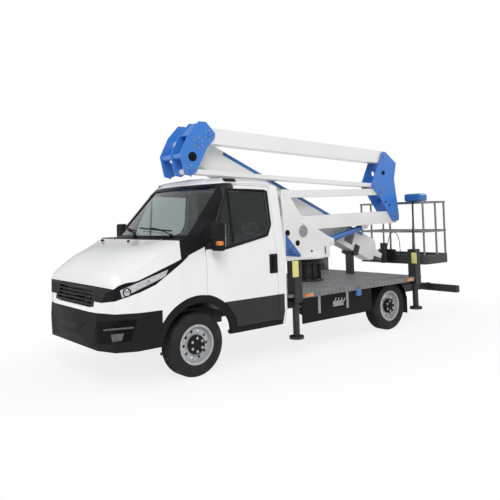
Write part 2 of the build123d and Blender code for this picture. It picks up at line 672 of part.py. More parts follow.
# Panels that meet along their seams: name and the region of the shell that each takes, in this order
front_end = -FRONT_OVERHANG - 40
wide = CAB_HALF + 50
bonnet_region = side_prism(
    ((front_end, shoulder_height(front_end)), (front_end, CAB_ROOF), (BONNET_REAR, CAB_ROOF),
     (BONNET_REAR, shoulder_height(BONNET_REAR))), wide, -wide
)
lamp_outline = ((front_end, shoulder_height(front_end)), *LAMP_LOWER, (-120.0, shoulder_height(-120.0)))
lamp_region = share(
    side_prism(lamp_outline, wide, -wide),
    block(front_end, CAB_BACK, -GRILLE_HALF, GRILLE_HALF, 0.0, CAB_ROOF),
    Mode.SUBTRACT,
)
sill_region = block(0.0, CAB_BACK - CAB_WALL, -wide, wide, 0.0, DOOR_BOTTOM - PANEL_GAP)
wing_outline = (
    (front_end, 0.0), (DOOR_FRONT - PANEL_GAP, 0.0), SHOULDER_LINE[1], (front_end, shoulder_height(front_end))
)
PANELS = (
    ("cladding", joined(ring_prism(ARCH_LIP), sill_region)),
    ("bumper", block(front_end, BUMPER_REAR, -wide, wide, 0.0, BUMPER_TOP)),
    ("bonnet", bonnet_region),
    ("headlamps", lamp_region),
    ("grille", side_prism(((front_end, 0.0), (-700.0, 0.0), (-700.0, CAB_ROOF), (front_end, CAB_ROOF)),
                          GRILLE_HALF, -GRILLE_HALF)),
    ("wings", side_prism(wing_outline, wide, -wide)),
    ("cab_roof", block(front_end, CAB_BACK, -wide, wide, ROOF_SEAM, CAB_ROOF + 100)),
    ("cab_back", block(CAB_BACK - CAB_WALL, CAB_BACK, -wide, wide, 0.0, CAB_ROOF)),
    ("cab_front", block(front_end, 560.0, -wide, wide, 0.0, CAB_ROOF)),
    ("cab_sides", block(560.0, CAB_BACK, -wide, wide, 0.0, CAB_ROOF)),
)
GRILLE_SLOTS = 5
GRILLE_PITCH = 40.0
GRILLE_SLOT = 22.0
for panel_name, region in PANELS:
    with BuildPart() as panel:
        add(shell)
        add(region, mode=Mode.INTERSECT)
        if panel_name == "bonnet":
            # the bonnet keeps a gap to the lamps, wings, grille and cowl
            add(side_prism(
                ((front_end, 0.0), (front_end, shoulder_height(front_end) + PANEL_GAP),
                 (BONNET_REAR - PANEL_GAP, shoulder_height(BONNET_REAR - PANEL_GAP) + PANEL_GAP),
                 (BONNET_REAR - PANEL_GAP, CAB_ROOF), (BONNET_REAR, CAB_ROOF), (BONNET_REAR, 0.0)),
                wide, -wide), mode=Mode.SUBTRACT)
            hang(bonnet_hinges)
        if panel_name == "wings":
            carry(left_hinges + right_hinges)
        if panel_name == "cab_front":
            carry(bonnet_hinges)
        if panel_name == "grille":
            with BuildSketch(Plane.YZ.offset(behind(-700.0))):
                with Locations((0, BUMPER_TOP + 25 + GRILLE_PITCH * GRILLE_SLOTS / 2)):
                    with GridLocations(0, GRILLE_PITCH, 1, GRILLE_SLOTS):
                        Rectangle(2 * GRILLE_HALF - 120, GRILLE_SLOT)
            extrude(amount=FRONT_OVERHANG, mode=Mode.SUBTRACT)
    save(panel, panel_name)
    shell = share(shell, region, Mode.SUBTRACT)

# Mirrors on the doors
MIRROR_FRONT = 135.0
MIRROR_DEPTH = 90.0
MIRROR_INNER = 1050.0
MIRROR_OUTER = 1225.0
MIRROR_BOTTOM = 1360.0
MIRROR_TOP = 1670.0
MIRROR_ROUND = 28.0
for side_name, side in (("left", 1), ("right", -1)):
    with BuildPart() as mirror:
        head = sorted((side * MIRROR_INNER, side * MIRROR_OUTER))
        add(block(MIRROR_FRONT, MIRROR_FRONT + MIRROR_DEPTH, *head, MIRROR_BOTTOM, MIRROR_TOP))
        fillet(mirror.edges(), MIRROR_ROUND)
        for height in (1400.0, 1475.0):
            station = 215.0
            reach = 975.0 - (height - 1335.0) * 105.0 / 740.0 + 10.0
            arm = sorted((side * (MIRROR_INNER + 40), side * reach))
            add(block(station - 35, station, *arm, height - 14, height + 14))
        add(cab_outer, mode=Mode.SUBTRACT)
    save(mirror, f"mirror_{side_name}")

# Cab floor with the toe board and bulkhead as one bent sheet
BULKHEAD_TOP = 1395.0
with BuildPart() as cab_floor:
    add(side_prism(
        ((CAB_BACK - CAB_WALL, RAIL_TOP), (430.0, RAIL_TOP), (FIREWALL, 960.0), (FIREWALL, BULKHEAD_TOP),
         (FIREWALL + FLOOR_THICKNESS, BULKHEAD_TOP), (FIREWALL + FLOOR_THICKNESS, 980.0),
         (445.0, FLOOR_TOP), (CAB_BACK - CAB_WALL, FLOOR_TOP)), FLOOR_HALF, -FLOOR_HALF))
save(cab_floor, "cab_floor")

# Dashboard with the steering column and wheel on the left
DRIVER = 480.0
STEERING_RADIUS = 200.0
STEERING_TUBE = 16.0
STEERING_CENTRE = (590.0, 1330.0)
STEERING_TILT = 28.0
with BuildPart() as dashboard:
    dash_front = FIREWALL + FLOOR_THICKNESS
    add(side_prism(
        ((dash_front, 1080.0), (dash_front, 1385.0), (330.0, 1400.0), (470.0, 1345.0), (480.0, 1210.0),
         (320.0, 1080.0)),
        FLOOR_HALF - 40, -FLOOR_HALF + 40))
    steering_plane = Plane(
        origin=(behind(STEERING_CENTRE[0]), DRIVER, STEERING_CENTRE[1]),
        z_dir=(-cos(radians(STEERING_TILT)), 0, sin(radians(STEERING_TILT))),
    )
    with Locations(steering_plane):
        Torus(STEERING_RADIUS, STEERING_TUBE)
        Box(2 * STEERING_RADIUS, 40, 18)
        Box(40, 2 * STEERING_RADIUS, 18)
        Cylinder(30, 190, align=(Align.CENTER, Align.CENTER, Align.MAX))
save(dashboard, "dashboard")

# Seats: centre across the cab, width
SEATS = ((DRIVER, 500.0), (-330.0, 940.0))
SEAT_FRONT = 690.0
SEAT_REAR = 1215.0
with BuildPart() as seats:
    for centre, width in SEATS:
        add(side_prism(
            ((SEAT_FRONT + 60, FLOOR_TOP), (SEAT_FRONT, 960.0), (SEAT_FRONT, 1080.0), (1060.0, 1060.0),
             (1130.0, 1640.0),
             (SEAT_REAR, 1640.0), (1180.0, 980.0), (1100.0, FLOOR_TOP)), centre + width / 2,
             centre - width / 2))
save(seats, "seats")

# Deck with bearers over the rails, notched round the outrigger columns
BEARER_FRONT = 1560.0
BEARER_REAR = 3880.0
with BuildPart() as deck:
    add(block(DECK_FRONT, DECK_REAR, -DECK_HALF, DECK_HALF, DECK_TOP - DECK_THICKNESS, DECK_TOP))
    for side in (1, -1):
        bearer = sorted((side * RAIL_OUTER, side * (RAIL_OUTER - RAIL_WIDTH)))
        add(block(BEARER_FRONT, BEARER_REAR, *bearer, RAIL_TOP, DECK_TOP - DECK_THICKNESS))
        rail = sorted((side * DECK_HALF, side * (DECK_HALF - DECK_RAIL_WIDTH)))
        add(block(BEARER_FRONT, BEARER_REAR, *rail, DECK_TOP - DECK_RAIL_DEPTH, DECK_TOP))
        for end_name, station, foot_height in OUTRIGGER_STATIONS:
            half = COLUMN_SIDE / 2 + SEAT
            notch = sorted((side * (COLUMN_CENTRE - half), side * (DECK_HALF + 50)))
            add(block(station - half, station + half, *notch, 0, COLUMN_TOP), mode=Mode.SUBTRACT)
save(deck, "deck")

# Outriggers: a cross beam on the rails and a square column at each end, bored for its leg
with BuildPart() as outriggers:
    for end_name, station, foot_height in OUTRIGGER_STATIONS:
        half = COLUMN_SIDE / 2
        inner = COLUMN_CENTRE - half
        add(block(station - half, station + half, -inner, inner, RAIL_TOP, DECK_TOP - DECK_THICKNESS))
        for side in (1, -1):
            sides = sorted((side * inner, side * (COLUMN_CENTRE + half)))
            add(block(station - half, station + half, *sides, COLUMN_BOTTOM, COLUMN_TOP))
    for end_name, station, foot_height in OUTRIGGER_STATIONS:
        for side in (1, -1):
            with Locations((behind(station), side * COLUMN_CENTRE, COLUMN_BOTTOM)):
                Cylinder(
                    LEG_RADIUS + SEAT, LEG_TOP + SEAT - COLUMN_BOTTOM,
                    align=(Align.CENTER, Align.CENTER, Align.MIN), mode=Mode.SUBTRACT,
                )
save(outriggers, "outriggers")
for end_name, station, foot_height in OUTRIGGER_STATIONS:
    for side_name, side in (("left", 1), ("right", -1)):
        with BuildPart() as leg:
            with Locations((behind(station), side * COLUMN_CENTRE, foot_height)):
                Cylinder(FOOT_RADIUS, FOOT_THICKNESS, align=(Align.CENTER, Align.CENTER, Align.MIN))
                Cylinder(LEG_RADIUS, LEG_TOP - foot_height, align=(Align.CENTER, Align.CENTER, Align.MIN))
        save(leg, f"leg_{end_name}_{side_name}")

# Side skirts under the deck's edges and the mudguards of the rear wheels
SKIRT_REAR = 2900.0
SKIRT_BOTTOM = 360.0
SKIRT_OUTER = 985.0
SKIRT_THICKNESS = 20.0
GUARD_RADIUS = 378.0
GUARD_THICKNESS = 7.0
GUARD_BOTTOM = 420.0
GUARD_WIDTH = 250.0
with BuildPart() as side_guards:
    for side in (1, -1):
        skirt = sorted((side * SKIRT_OUTER, side * (SKIRT_OUTER - SKIRT_THICKNESS)))
        add(block(BEARER_FRONT, SKIRT_REAR, *skirt, SKIRT_BOTTOM, DECK_TOP - DECK_THICKNESS))
    for side in (1, -1):
        middle = side * REAR_TRACK / 2
        outer = cross_rod((WHEELBASE, AXLE_HEIGHT), GUARD_RADIUS + GUARD_THICKNESS, middle + GUARD_WIDTH / 2,
                          middle - GUARD_WIDTH / 2)
        inner = cross_rod((WHEELBASE, AXLE_HEIGHT), GUARD_RADIUS, middle + GUARD_WIDTH / 2,
                          middle - GUARD_WIDTH / 2)
        guard = share(outer, inner, Mode.SUBTRACT)
        span = block(WHEELBASE - 500, WHEELBASE + 500, -DECK_HALF, DECK_HALF, GUARD_BOTTOM,
                     DECK_TOP - DECK_THICKNESS)
        add(share(guard, span, Mode.INTERSECT))
save(side_guards, "side_guards")

# Pedestal with the fixed half of the slew ring
PEDESTAL_FLANGE = 40.0
with BuildPart() as pedestal:
    half = PEDESTAL_SIDE / 2
    add(block(SLEW_BEHIND - half, SLEW_BEHIND + half, -half, half, DECK_TOP, PEDESTAL_TOP))
    chamfer(pedestal.edges().filter_by(Axis.Z), 60.0)
    wide_half = half + PEDESTAL_FLANGE
    add(block(SLEW_BEHIND - wide_half, SLEW_BEHIND + wide_half, -wide_half, wide_half, DECK_TOP,
              DECK_TOP + 20))
    with Locations((behind(SLEW_BEHIND), 0, PEDESTAL_TOP)):
        Cylinder(RING_RADIUS, RING_TOP - PEDESTAL_TOP, align=(Align.CENTER, Align.CENTER, Align.MIN))
save(pedestal, "pedestal")

# Turret: a deck plate on the slew ring and two cheeks that hold the lower parallelogram and the lift cylinder
LOWER_TIE_FRONT = moved(LOWER_FRONT, LOWER_TIE_SHIFT)
LOWER_TIE_REAR = moved(LOWER_REAR, LOWER_TIE_SHIFT)
UPPER_TIE_FRONT = moved(UPPER_FRONT, UPPER_TIE_SHIFT)
UPPER_TIE_REAR = moved(UPPER_REAR, UPPER_TIE_SHIFT)
CHEEK = (
    (1955.0, RING_TOP), (1955.0, 1750.0), (1925.0, 1990.0), (1950.0, 2085.0), (2060.0, 2085.0),
    (2110.0, 1980.0),
    (2300.0, 1720.0), (2420.0, 1690.0), (2480.0, 1590.0), (2875.0, 1385.0), (2985.0, 1350.0),
    (2985.0, 1265.0),
    (2880.0, 1230.0), (2880.0, RING_TOP),
)
TURRET_FRONT_WALL = 1955.0
with BuildPart() as turret:
    plate_top = RING_TOP + SEAT + TURRET_PLATE
    with BuildSketch(Plane.XY.offset(RING_TOP + SEAT)):
        with Locations((behind(SLEW_BEHIND), 0)):
            Circle(RING_RADIUS)
    extrude(amount=TURRET_PLATE)
    add(block(TURRET_FRONT_WALL, 2880.0, MIDDLE_FACE - PLATE, NEAR_FACE, RING_TOP + SEAT, plate_top))
    cheek = share(side_prism(CHEEK, NEAR_FACE, NEAR_FACE - PLATE),
                  block(0, TAIL, -500, 500, 0, RING_TOP + SEAT), Mode.SUBTRACT)
    add(cheek)
    add(share(side_prism(CHEEK, MIDDLE_FACE, MIDDLE_FACE - PLATE),
              block(0, TAIL, -500, 500, 0, RING_TOP + SEAT), Mode.SUBTRACT))
    add(block(TURRET_FRONT_WALL, TURRET_FRONT_WALL + PLATE, MIDDLE_FACE - PLATE, NEAR_FACE, RING_TOP + SEAT,
              1700.0))
    for place in (LOWER_FRONT, LOWER_TIE_FRONT, CYLINDER_BASE):
        add(cross_rod(place, PIN_RADIUS, NEAR_FACE + PIN_HEAD, MIDDLE_FACE - PLATE))
save(turret, "turret")


def arm_part(start, end, depth, boss, name):
    """A box arm between two pins with rounded ends and a bushed boss at each pin; returned as a builder."""
    run = hypot(end[0] - start[0], end[1] - start[1])
    lean = degrees(atan2(end[1] - start[1], -(end[0] - start[0])))
    middle = ((start[0] + end[0]) / 2, (start[1] + end[1]) / 2)
    with BuildPart() as arm:
        with BuildSketch(Plane.XZ.offset(-(BAND_CENTRE + ARM_WIDTH / 2))):
            with Locations((behind(middle[0]), middle[1])):
                SlotCenterToCenter(run, depth, rotation=lean)
        extrude(amount=ARM_WIDTH)
        half = BAND_WIDTH / 2 - SEAT
        for place in (start, end):
            add(cross_rod(place, boss, BAND_CENTRE + half, BAND_CENTRE - half))
        for place in (start, end):
            add(cross_rod(place, PIN_RADIUS + PIN_PLAY, NEAR_FACE, MIDDLE_FACE - PLATE), mode=Mode.SUBTRACT)
        if name == "lower_arm":
            lug_outer = LUG_GAP / 2 + PLATE
            lugs = (
                (BAND_CENTRE + lug_outer, BAND_CENTRE + LUG_GAP / 2),
                (BAND_CENTRE - LUG_GAP / 2, BAND_CENTRE - lug_outer)
            )
            eye_x, eye_z = CYLINDER_EYE
            for y_high, y_low in lugs:
                lug = side_prism(
                    ((eye_x - 95, eye_z + 80), (eye_x + 95, eye_z + 80), (eye_x + 62, eye_z - 26),
                     (eye_x - 62, eye_z - 26)),
                    y_high, y_low)
                add(lug)
            # the eye drifts back and down in mid travel, so the notch opens that way
            notch = ROD_PIN_RADIUS + NOTCH_PLAY
            low = eye_z - NOTCH_DEPTH
            mouth = side_prism(
                ((eye_x - notch, eye_z), (eye_x + 0.8 * notch, eye_z + 0.6 * notch),
                 (eye_x + notch + NOTCH_FLARE, low),
                 (eye_x - notch, low)),
                NEAR_FACE, MIDDLE_FACE)
            add(mouth, mode=Mode.SUBTRACT)
            add(cross_rod(CYLINDER_EYE, notch, NEAR_FACE, MIDDLE_FACE), mode=Mode.SUBTRACT)
    return arm


# Arms and ties: name, first pin, second pin, depth, boss radius
ARMS = (
    ("lower_arm", LOWER_FRONT, LOWER_REAR, LOWER_ARM_DEPTH, 60.0),
    ("lower_tie", LOWER_TIE_FRONT, LOWER_TIE_REAR, LOWER_TIE_DEPTH, 45.0),
    ("upper_arm", UPPER_FRONT, UPPER_REAR, UPPER_ARM_DEPTH, 60.0),
    ("upper_tie", UPPER_TIE_FRONT, UPPER_TIE_REAR, UPPER_TIE_DEPTH, 40.0),
)
for arm_name, first_pin, second_pin, arm_depth, arm_boss in ARMS:
    save(arm_part(first_pin, second_pin, arm_depth, arm_boss, arm_name), arm_name)

# Lift cylinder: barrel on the turret and rod to the lower arm
cylinder_run = hypot(CYLINDER_EYE[0] - CYLINDER_BASE[0], CYLINDER_EYE[1] - CYLINDER_BASE[1])
cylinder_rise = atan2(CYLINDER_EYE[1] - CYLINDER_BASE[1], CYLINDER_EYE[0] - CYLINDER_BASE[0])
cylinder_plane = Plane(
    origin=(behind(CYLINDER_BASE[0]), BAND_CENTRE, CYLINDER_BASE[1]),
    x_dir=(0, 1, 0),
    z_dir=(-cos(cylinder_rise), 0, sin(cylinder_rise)),
)
BASE_EYE = 48.0
with BuildPart() as lift_barrel:
    with Locations(cylinder_plane):
        Cylinder(BARREL_RADIUS, BARREL_LENGTH, align=UP)
    half = BAND_WIDTH / 2 - SEAT
    add(cross_rod(CYLINDER_BASE, BASE_EYE, BAND_CENTRE + half, BAND_CENTRE - half))
    with Locations(cylinder_plane.offset(PISTON_START - SEAT)):
        bore_length = BARREL_LENGTH - GLAND_LENGTH - PISTON_START + SEAT
        Cylinder(BARREL_BORE, bore_length, align=UP, mode=Mode.SUBTRACT)
        Cylinder(ROD_RADIUS + PIN_PLAY, BARREL_LENGTH, align=UP, mode=Mode.SUBTRACT)
    add(cross_rod(CYLINDER_BASE, PIN_RADIUS + PIN_PLAY, NEAR_FACE, MIDDLE_FACE - PLATE), mode=Mode.SUBTRACT)
save(lift_barrel, "lift_barrel")
with BuildPart() as lift_rod:
    with Locations(cylinder_plane.offset(PISTON_START)):
        Cylinder(BARREL_BORE - PIN_PLAY, PISTON_LENGTH, align=UP)
        Cylinder(ROD_RADIUS, cylinder_run - PISTON_START, align=UP)
    add(cross_rod(CYLINDER_EYE, ROD_PIN_RADIUS + 14, BAND_CENTRE + ROD_HEAD / 2, BAND_CENTRE - ROD_HEAD / 2))
    add(cross_rod(CYLINDER_EYE, ROD_PIN_RADIUS, BAND_CENTRE + ROD_PIN_LENGTH / 2,
                  BAND_CENTRE - ROD_PIN_LENGTH / 2))
save(lift_rod, "lift_rod")

# Rear knuckle: two plates that join the parallelograms, with four pins and two cross tubes
REAR_KNUCKLE = (
    (4215.0, 2720.0), (4300.0, 2720.0), (4570.0, 2540.0), (4500.0, 2270.0), (4600.0, 1660.0),
    (4590.0, 1580.0),
    (4440.0, 1570.0), (4080.0, 2000.0), (3915.0, 2150.0), (3930.0, 2200.0),
)
REAR_TUBES = ((4400.0, 2350.0), (4400.0, 1930.0))
REAR_HOLE = (4230.0, 2370.0)
REAR_HOLE_RADIUS = 40.0
TUBE_RADIUS = 38.0
with BuildPart() as rear_knuckle:
    for face in (NEAR_FACE, MIDDLE_FACE):
        add(side_prism(REAR_KNUCKLE, face, face - PLATE, corner=12.0))
    add(cross_rod(REAR_HOLE, REAR_HOLE_RADIUS, NEAR_FACE, MIDDLE_FACE - PLATE), mode=Mode.SUBTRACT)
    for place in REAR_TUBES:
        add(cross_rod(place, TUBE_RADIUS, NEAR_FACE, MIDDLE_FACE - PLATE))
    for place in (LOWER_REAR, LOWER_TIE_REAR, UPPER_REAR, UPPER_TIE_REAR):
        add(cross_rod(place, PIN_RADIUS, NEAR_FACE + PIN_HEAD, MIDDLE_FACE - PLATE))
save(rear_knuckle, "rear_knuckle")

# Front knuckle: three plates that hold the upper parallelogram on one side and the boom on the other
FRONT_KNUCKLE = (
    (690.0, 2940.0), (830.0, 2800.0), (820.0, 2740.0), (690.0, 2600.0), (520.0, 2290.0), (440.0, 2245.0),
    (350.0, 2260.0), (290.0, 2520.0), (420.0, 2770.0), (580.0, 2940.0),
)
FRONT_TUBES = ((350.0, 2500.0),)
FRONT_HOLE = (476.0, 2481.0)
BOOM_PIN_RADIUS = 30.0
COVER = ((432.0, 2762.0), (588.0, 2928.0), (600.0, 2916.0), (444.0, 2750.0))
with BuildPart() as front_knuckle:
    for face in (NEAR_FACE, MIDDLE_FACE, FAR_FACE):
        add(side_prism(FRONT_KNUCKLE, face, face - PLATE, corner=12.0))
    add(cross_rod(FRONT_HOLE, REAR_HOLE_RADIUS, NEAR_FACE, FAR_FACE - PLATE), mode=Mode.SUBTRACT)
    for place in FRONT_TUBES:
        add(cross_rod(place, TUBE_RADIUS, NEAR_FACE, FAR_FACE - PLATE))
    add(side_prism(COVER, NEAR_FACE, MIDDLE_FACE - PLATE))
    for place in (UPPER_FRONT, UPPER_TIE_FRONT):
        add(cross_rod(place, PIN_RADIUS, NEAR_FACE + PIN_HEAD, MIDDLE_FACE - PLATE))
    add(cross_rod(BOOM_PIVOT, BOOM_PIN_RADIUS, NEAR_FACE + PIN_HEAD, FAR_FACE - PLATE))
save(front_knuckle, "front_knuckle")

# Telescopic boom: local x runs along the boom to its tip, local z is square to it, upwards
boom_cos = cos(radians(BOOM_ANGLE))
boom_sin = sin(radians(BOOM_ANGLE))
boom_plane = Plane(
    origin=(behind(BOOM_PIVOT[0]), BOOM_CENTRE, BOOM_PIVOT[1]),
    x_dir=(-boom_cos, 0, -boom_sin),
    z_dir=(-boom_sin, 0, boom_cos),
)
ALONG = (Align.MIN, Align.CENTER, Align.CENTER)


def boom_point(along, square=0.0):
    """The (behind, height) place of a point of the boom's line."""
    station = BOOM_PIVOT[0] + along * boom_cos + square * boom_sin
    return (station, BOOM_PIVOT[1] - along * boom_sin + square * boom_cos)


# Sections, from the outside in: name, start along the boom, end, width, depth
mid_width = BOOM_WIDTH - 2 * BOOM_WALL - 2 * SECTION_INSET
mid_depth = BOOM_DEPTH - 2 * BOOM_WALL - 2 * SECTION_INSET
tip_width = mid_width - 2 * BOOM_WALL - 2 * SECTION_INSET
tip_depth = mid_depth - 2 * BOOM_WALL - 2 * SECTION_INSET
SECTIONS = (
    ("boom_base", BOOM_START, BOOM_END, BOOM_WIDTH, BOOM_DEPTH),
    ("boom_mid", BOOM_START + 230.0, BOOM_END + SECTION_STEP, mid_width, mid_depth),
    ("boom_tip", BOOM_START + 350.0, BOOM_END + 2 * SECTION_STEP, tip_width, tip_depth),
)
FOOT_CHEEK = 190.0
HEAD_PLATE = 20.0
HEAD_GAP = 90.0
TIP_PIN_RADIUS = 22.0
HEAD_DEPTH = 120.0
for section_name, start, end, width, depth in SECTIONS:
    with BuildPart() as section:
        with Locations(boom_plane):
            with Locations((start, 0, 0)):
                Box(end - start, width, depth, align=ALONG)
        fillet(section.edges().filter_by(Axis((0, 0, 0), boom_plane.x_dir)), 14.0)
        if section_name != "boom_base":
            # the inner end is a collar that slides in the section outside it
            with Locations(boom_plane):
                with Locations((start, 0, 0)):
                    collar = 2 * (SECTION_INSET - SECTION_PLAY)
                    Box(MOUTH_LENGTH, width + collar, depth + collar, align=ALONG)
        if section_name != "boom_tip":
            with Locations(boom_plane):
                with Locations((start + BOOM_WALL, 0, 0)):
                    bore_width = width - 2 * BOOM_WALL
                    bore_depth = depth - 2 * BOOM_WALL
                    Box(end - start - BOOM_WALL - MOUTH_LENGTH, bore_width, bore_depth, align=ALONG,
                        mode=Mode.SUBTRACT)
                with Locations((end - MOUTH_LENGTH - 1, 0, 0)):
                    fit = 2 * (SECTION_INSET - SECTION_PLAY)
                    Box(MOUTH_LENGTH + 2, bore_width - fit, bore_depth - fit, align=ALONG, mode=Mode.SUBTRACT)
        if section_name == "boom_base":
            for side in (1, -1):
                inner = sorted((BOOM_CENTRE + side * width / 2, BOOM_CENTRE + side * (width / 2 - 30)),
                               reverse=True)
                outline = (
                    boom_point(FOOT_CHEEK, depth / 2 - 30), boom_point(-20, 70), boom_point(-75, 0),
                    boom_point(-20, -70), boom_point(FOOT_CHEEK, -depth / 2 + 30),
                )
                add(side_prism(outline, *inner))
            half = BOOM_BAND / 2 - SEAT
            add(cross_rod(BOOM_PIVOT, BOSS_RADIUS, BOOM_CENTRE + half, BOOM_CENTRE - half))
            add(cross_rod(BOOM_PIVOT, BOOM_PIN_RADIUS + PIN_PLAY, NEAR_FACE, FAR_FACE - PLATE),
                mode=Mode.SUBTRACT)
        if section_name == "boom_tip":
            tip_hinge = boom_point(TIP_HINGE)
            for side in (1, -1):
                sides = (BOOM_CENTRE + side * HEAD_GAP / 2, BOOM_CENTRE + side * (HEAD_GAP / 2 + HEAD_PLATE))
                outline = (
                    boom_point(end - 40, HEAD_DEPTH / 2), boom_point(TIP_HINGE + 45, 40),
                    boom_point(TIP_HINGE + 45, -40), boom_point(end - 40, -HEAD_DEPTH / 2),
                )
                add(side_prism(outline, max(sides), min(sides)))
            pin_half = HEAD_GAP / 2 + HEAD_PLATE + PIN_HEAD
            add(cross_rod(tip_hinge, TIP_PIN_RADIUS, BOOM_CENTRE + pin_half, BOOM_CENTRE - pin_half))
    save(section, section_name)

# Basket bracket: a tongue on the boom's tip pin, a column and a plate on the basket's front
BRACKET_COLUMN = 4610.0
BRACKET_COLUMN_RADIUS = 60.0
BRACKET_BOTTOM = 850.0
BRACKET_TOP = 1190.0
with BuildPart() as basket_bracket:
    tongue_half = HEAD_GAP / 2 - SEAT
    hinge_station, hinge_height = tip_hinge
    add(side_prism(
        ((hinge_station, hinge_height + 60), (BRACKET_COLUMN, hinge_height + 110),
         (BRACKET_COLUMN, hinge_height - 110),
         (hinge_station, hinge_height - 60)), BOOM_CENTRE + tongue_half, BOOM_CENTRE - tongue_half))
    add(cross_rod(tip_hinge, 60.0, BOOM_CENTRE + tongue_half, BOOM_CENTRE - tongue_half))
    with Locations((behind(BRACKET_COLUMN), BOOM_CENTRE, BRACKET_BOTTOM)):
        Cylinder(BRACKET_COLUMN_RADIUS, BRACKET_TOP - BRACKET_BOTTOM, align=UP)
    plate_front = BASKET_FRONT - 16
    add(block(plate_front, BASKET_FRONT, BOOM_CENTRE - 180, BOOM_CENTRE + 180, BASKET_FLOOR,
              BASKET_FLOOR + 240))
    add(block(BRACKET_COLUMN, plate_front, BOOM_CENTRE - 50, BOOM_CENTRE + 50, BASKET_FLOOR + 20,
              BASKET_FLOOR + 220))
    add(cross_rod(tip_hinge, TIP_PIN_RADIUS + PIN_PLAY, NEAR_FACE, FAR_FACE - PLATE), mode=Mode.SUBTRACT)
save(basket_bracket, "basket_bracket")

# Basket: floor and kick panels, posts and two rails
basket_depth = TAIL - BASKET_FRONT
basket_middle = (BASKET_FRONT + TAIL) / 2
POSTS = ((-0.5, -0.5), (-0.5, 0.5), (0.5, -0.5), (0.5, 0.5), (-0.5, 0.0), (0.5, 0.0), (0.0, -0.5), (0.0, 0.5))
with BuildPart() as basket:
    with BuildSketch(Plane.XY.offset(BASKET_FLOOR)):
        with Locations((behind(basket_middle), BASKET_CENTRE)):
            RectangleRounded(basket_depth, BASKET_WIDTH, BASKET_CORNER)
    extrude(amount=KICK_HEIGHT)
    with BuildSketch(Plane.XY.offset(BASKET_FLOOR + TUBE)):
        with Locations((behind(basket_middle), BASKET_CENTRE)):
            RectangleRounded(basket_depth - 2 * TUBE, BASKET_WIDTH - 2 * TUBE, BASKET_CORNER - TUBE)
    extrude(amount=KICK_HEIGHT, mode=Mode.SUBTRACT)
    for height in (BASKET_MID, BASKET_TOP):
        with BuildSketch(Plane.XY.offset(height - TUBE)):
            with Locations((behind(basket_middle), BASKET_CENTRE)):
                RectangleRounded(basket_depth, BASKET_WIDTH, BASKET_CORNER)
                RectangleRounded(
                    basket_depth - 2 * TUBE, BASKET_WIDTH - 2 * TUBE, BASKET_CORNER - TUBE, mode=Mode.SUBTRACT
                )
        extrude(amount=TUBE)
    for along, across in POSTS:
        corner = abs(along) == 0.5 and abs(across) == 0.5
        inset = BASKET_CORNER * 0.2929 + TUBE / 2 if corner else TUBE / 2
        x = behind(basket_middle + along * basket_depth) + (inset if along > 0 else -inset if along < 0 else 0)
        y = BASKET_CENTRE + across * BASKET_WIDTH + (-inset if across > 0 else inset if across < 0 else 0)
        with Locations((x, y, BASKET_FLOOR)):
            Cylinder(TUBE / 2, BASKET_TOP - BASKET_FLOOR - 1, align=UP)
save(basket, "basket")

# Control box on the basket's front rail
with BuildPart() as control_box:
    box_sides = (BASKET_CENTRE + 340.0, BASKET_CENTRE + 660.0)
    add(block(BASKET_FRONT - 30, BASKET_FRONT + 190, *box_sides, BASKET_TOP, BASKET_TOP + 130))
    fillet(control_box.edges().filter_by(Axis.Y).group_by(Axis.Z)[-1], 40.0)
save(control_box, "control_box")

# Cradle: a post on the deck with a sloped fork under the boom
CRADLE_ALONG = 3480.0
CRADLE_LENGTH = 110.0
CRADLE_PAD = 40.0
CRADLE_ARM = 18.0
CRADLE_RISE = 120.0
CRADLE_PLAY = 6.0
with BuildPart() as cradle:
    low = -BOOM_DEPTH / 2 - SEAT
    pad_half = BOOM_WIDTH / 2 + CRADLE_PLAY
    pad = (
        boom_point(CRADLE_ALONG, low), boom_point(CRADLE_ALONG + CRADLE_LENGTH, low),
        boom_point(CRADLE_ALONG + CRADLE_LENGTH, low - CRADLE_PAD),
        boom_point(CRADLE_ALONG, low - CRADLE_PAD),
    )
    fork = (
        boom_point(CRADLE_ALONG, low + CRADLE_RISE),
        boom_point(CRADLE_ALONG + CRADLE_LENGTH, low + CRADLE_RISE), *pad[2:]
    )
    add(side_prism(pad, BOOM_CENTRE + pad_half, BOOM_CENTRE - pad_half))
    for side in (1, -1):
        sides = (BOOM_CENTRE + side * pad_half, BOOM_CENTRE + side * (pad_half + CRADLE_ARM))
        add(side_prism(fork, max(sides), min(sides)))
    post_front = boom_point(CRADLE_ALONG + 15, low - CRADLE_PAD)
    post_rear = boom_point(CRADLE_ALONG + CRADLE_LENGTH - 15, low - CRADLE_PAD)
    add(side_prism(
        (moved(post_front, (0, 2)), moved(post_rear, (0, 2)), (post_rear[0], DECK_TOP),
         (post_front[0], DECK_TOP)),
        BOOM_CENTRE + 60, BOOM_CENTRE - 60))
save(cradle, "cradle")
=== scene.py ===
import json
from math import atan2, cos, hypot, pi, radians, sin, tau

import bmesh
import bpy
from mathutils import Matrix, Vector
from mathutils.bvhtree import BVHTree

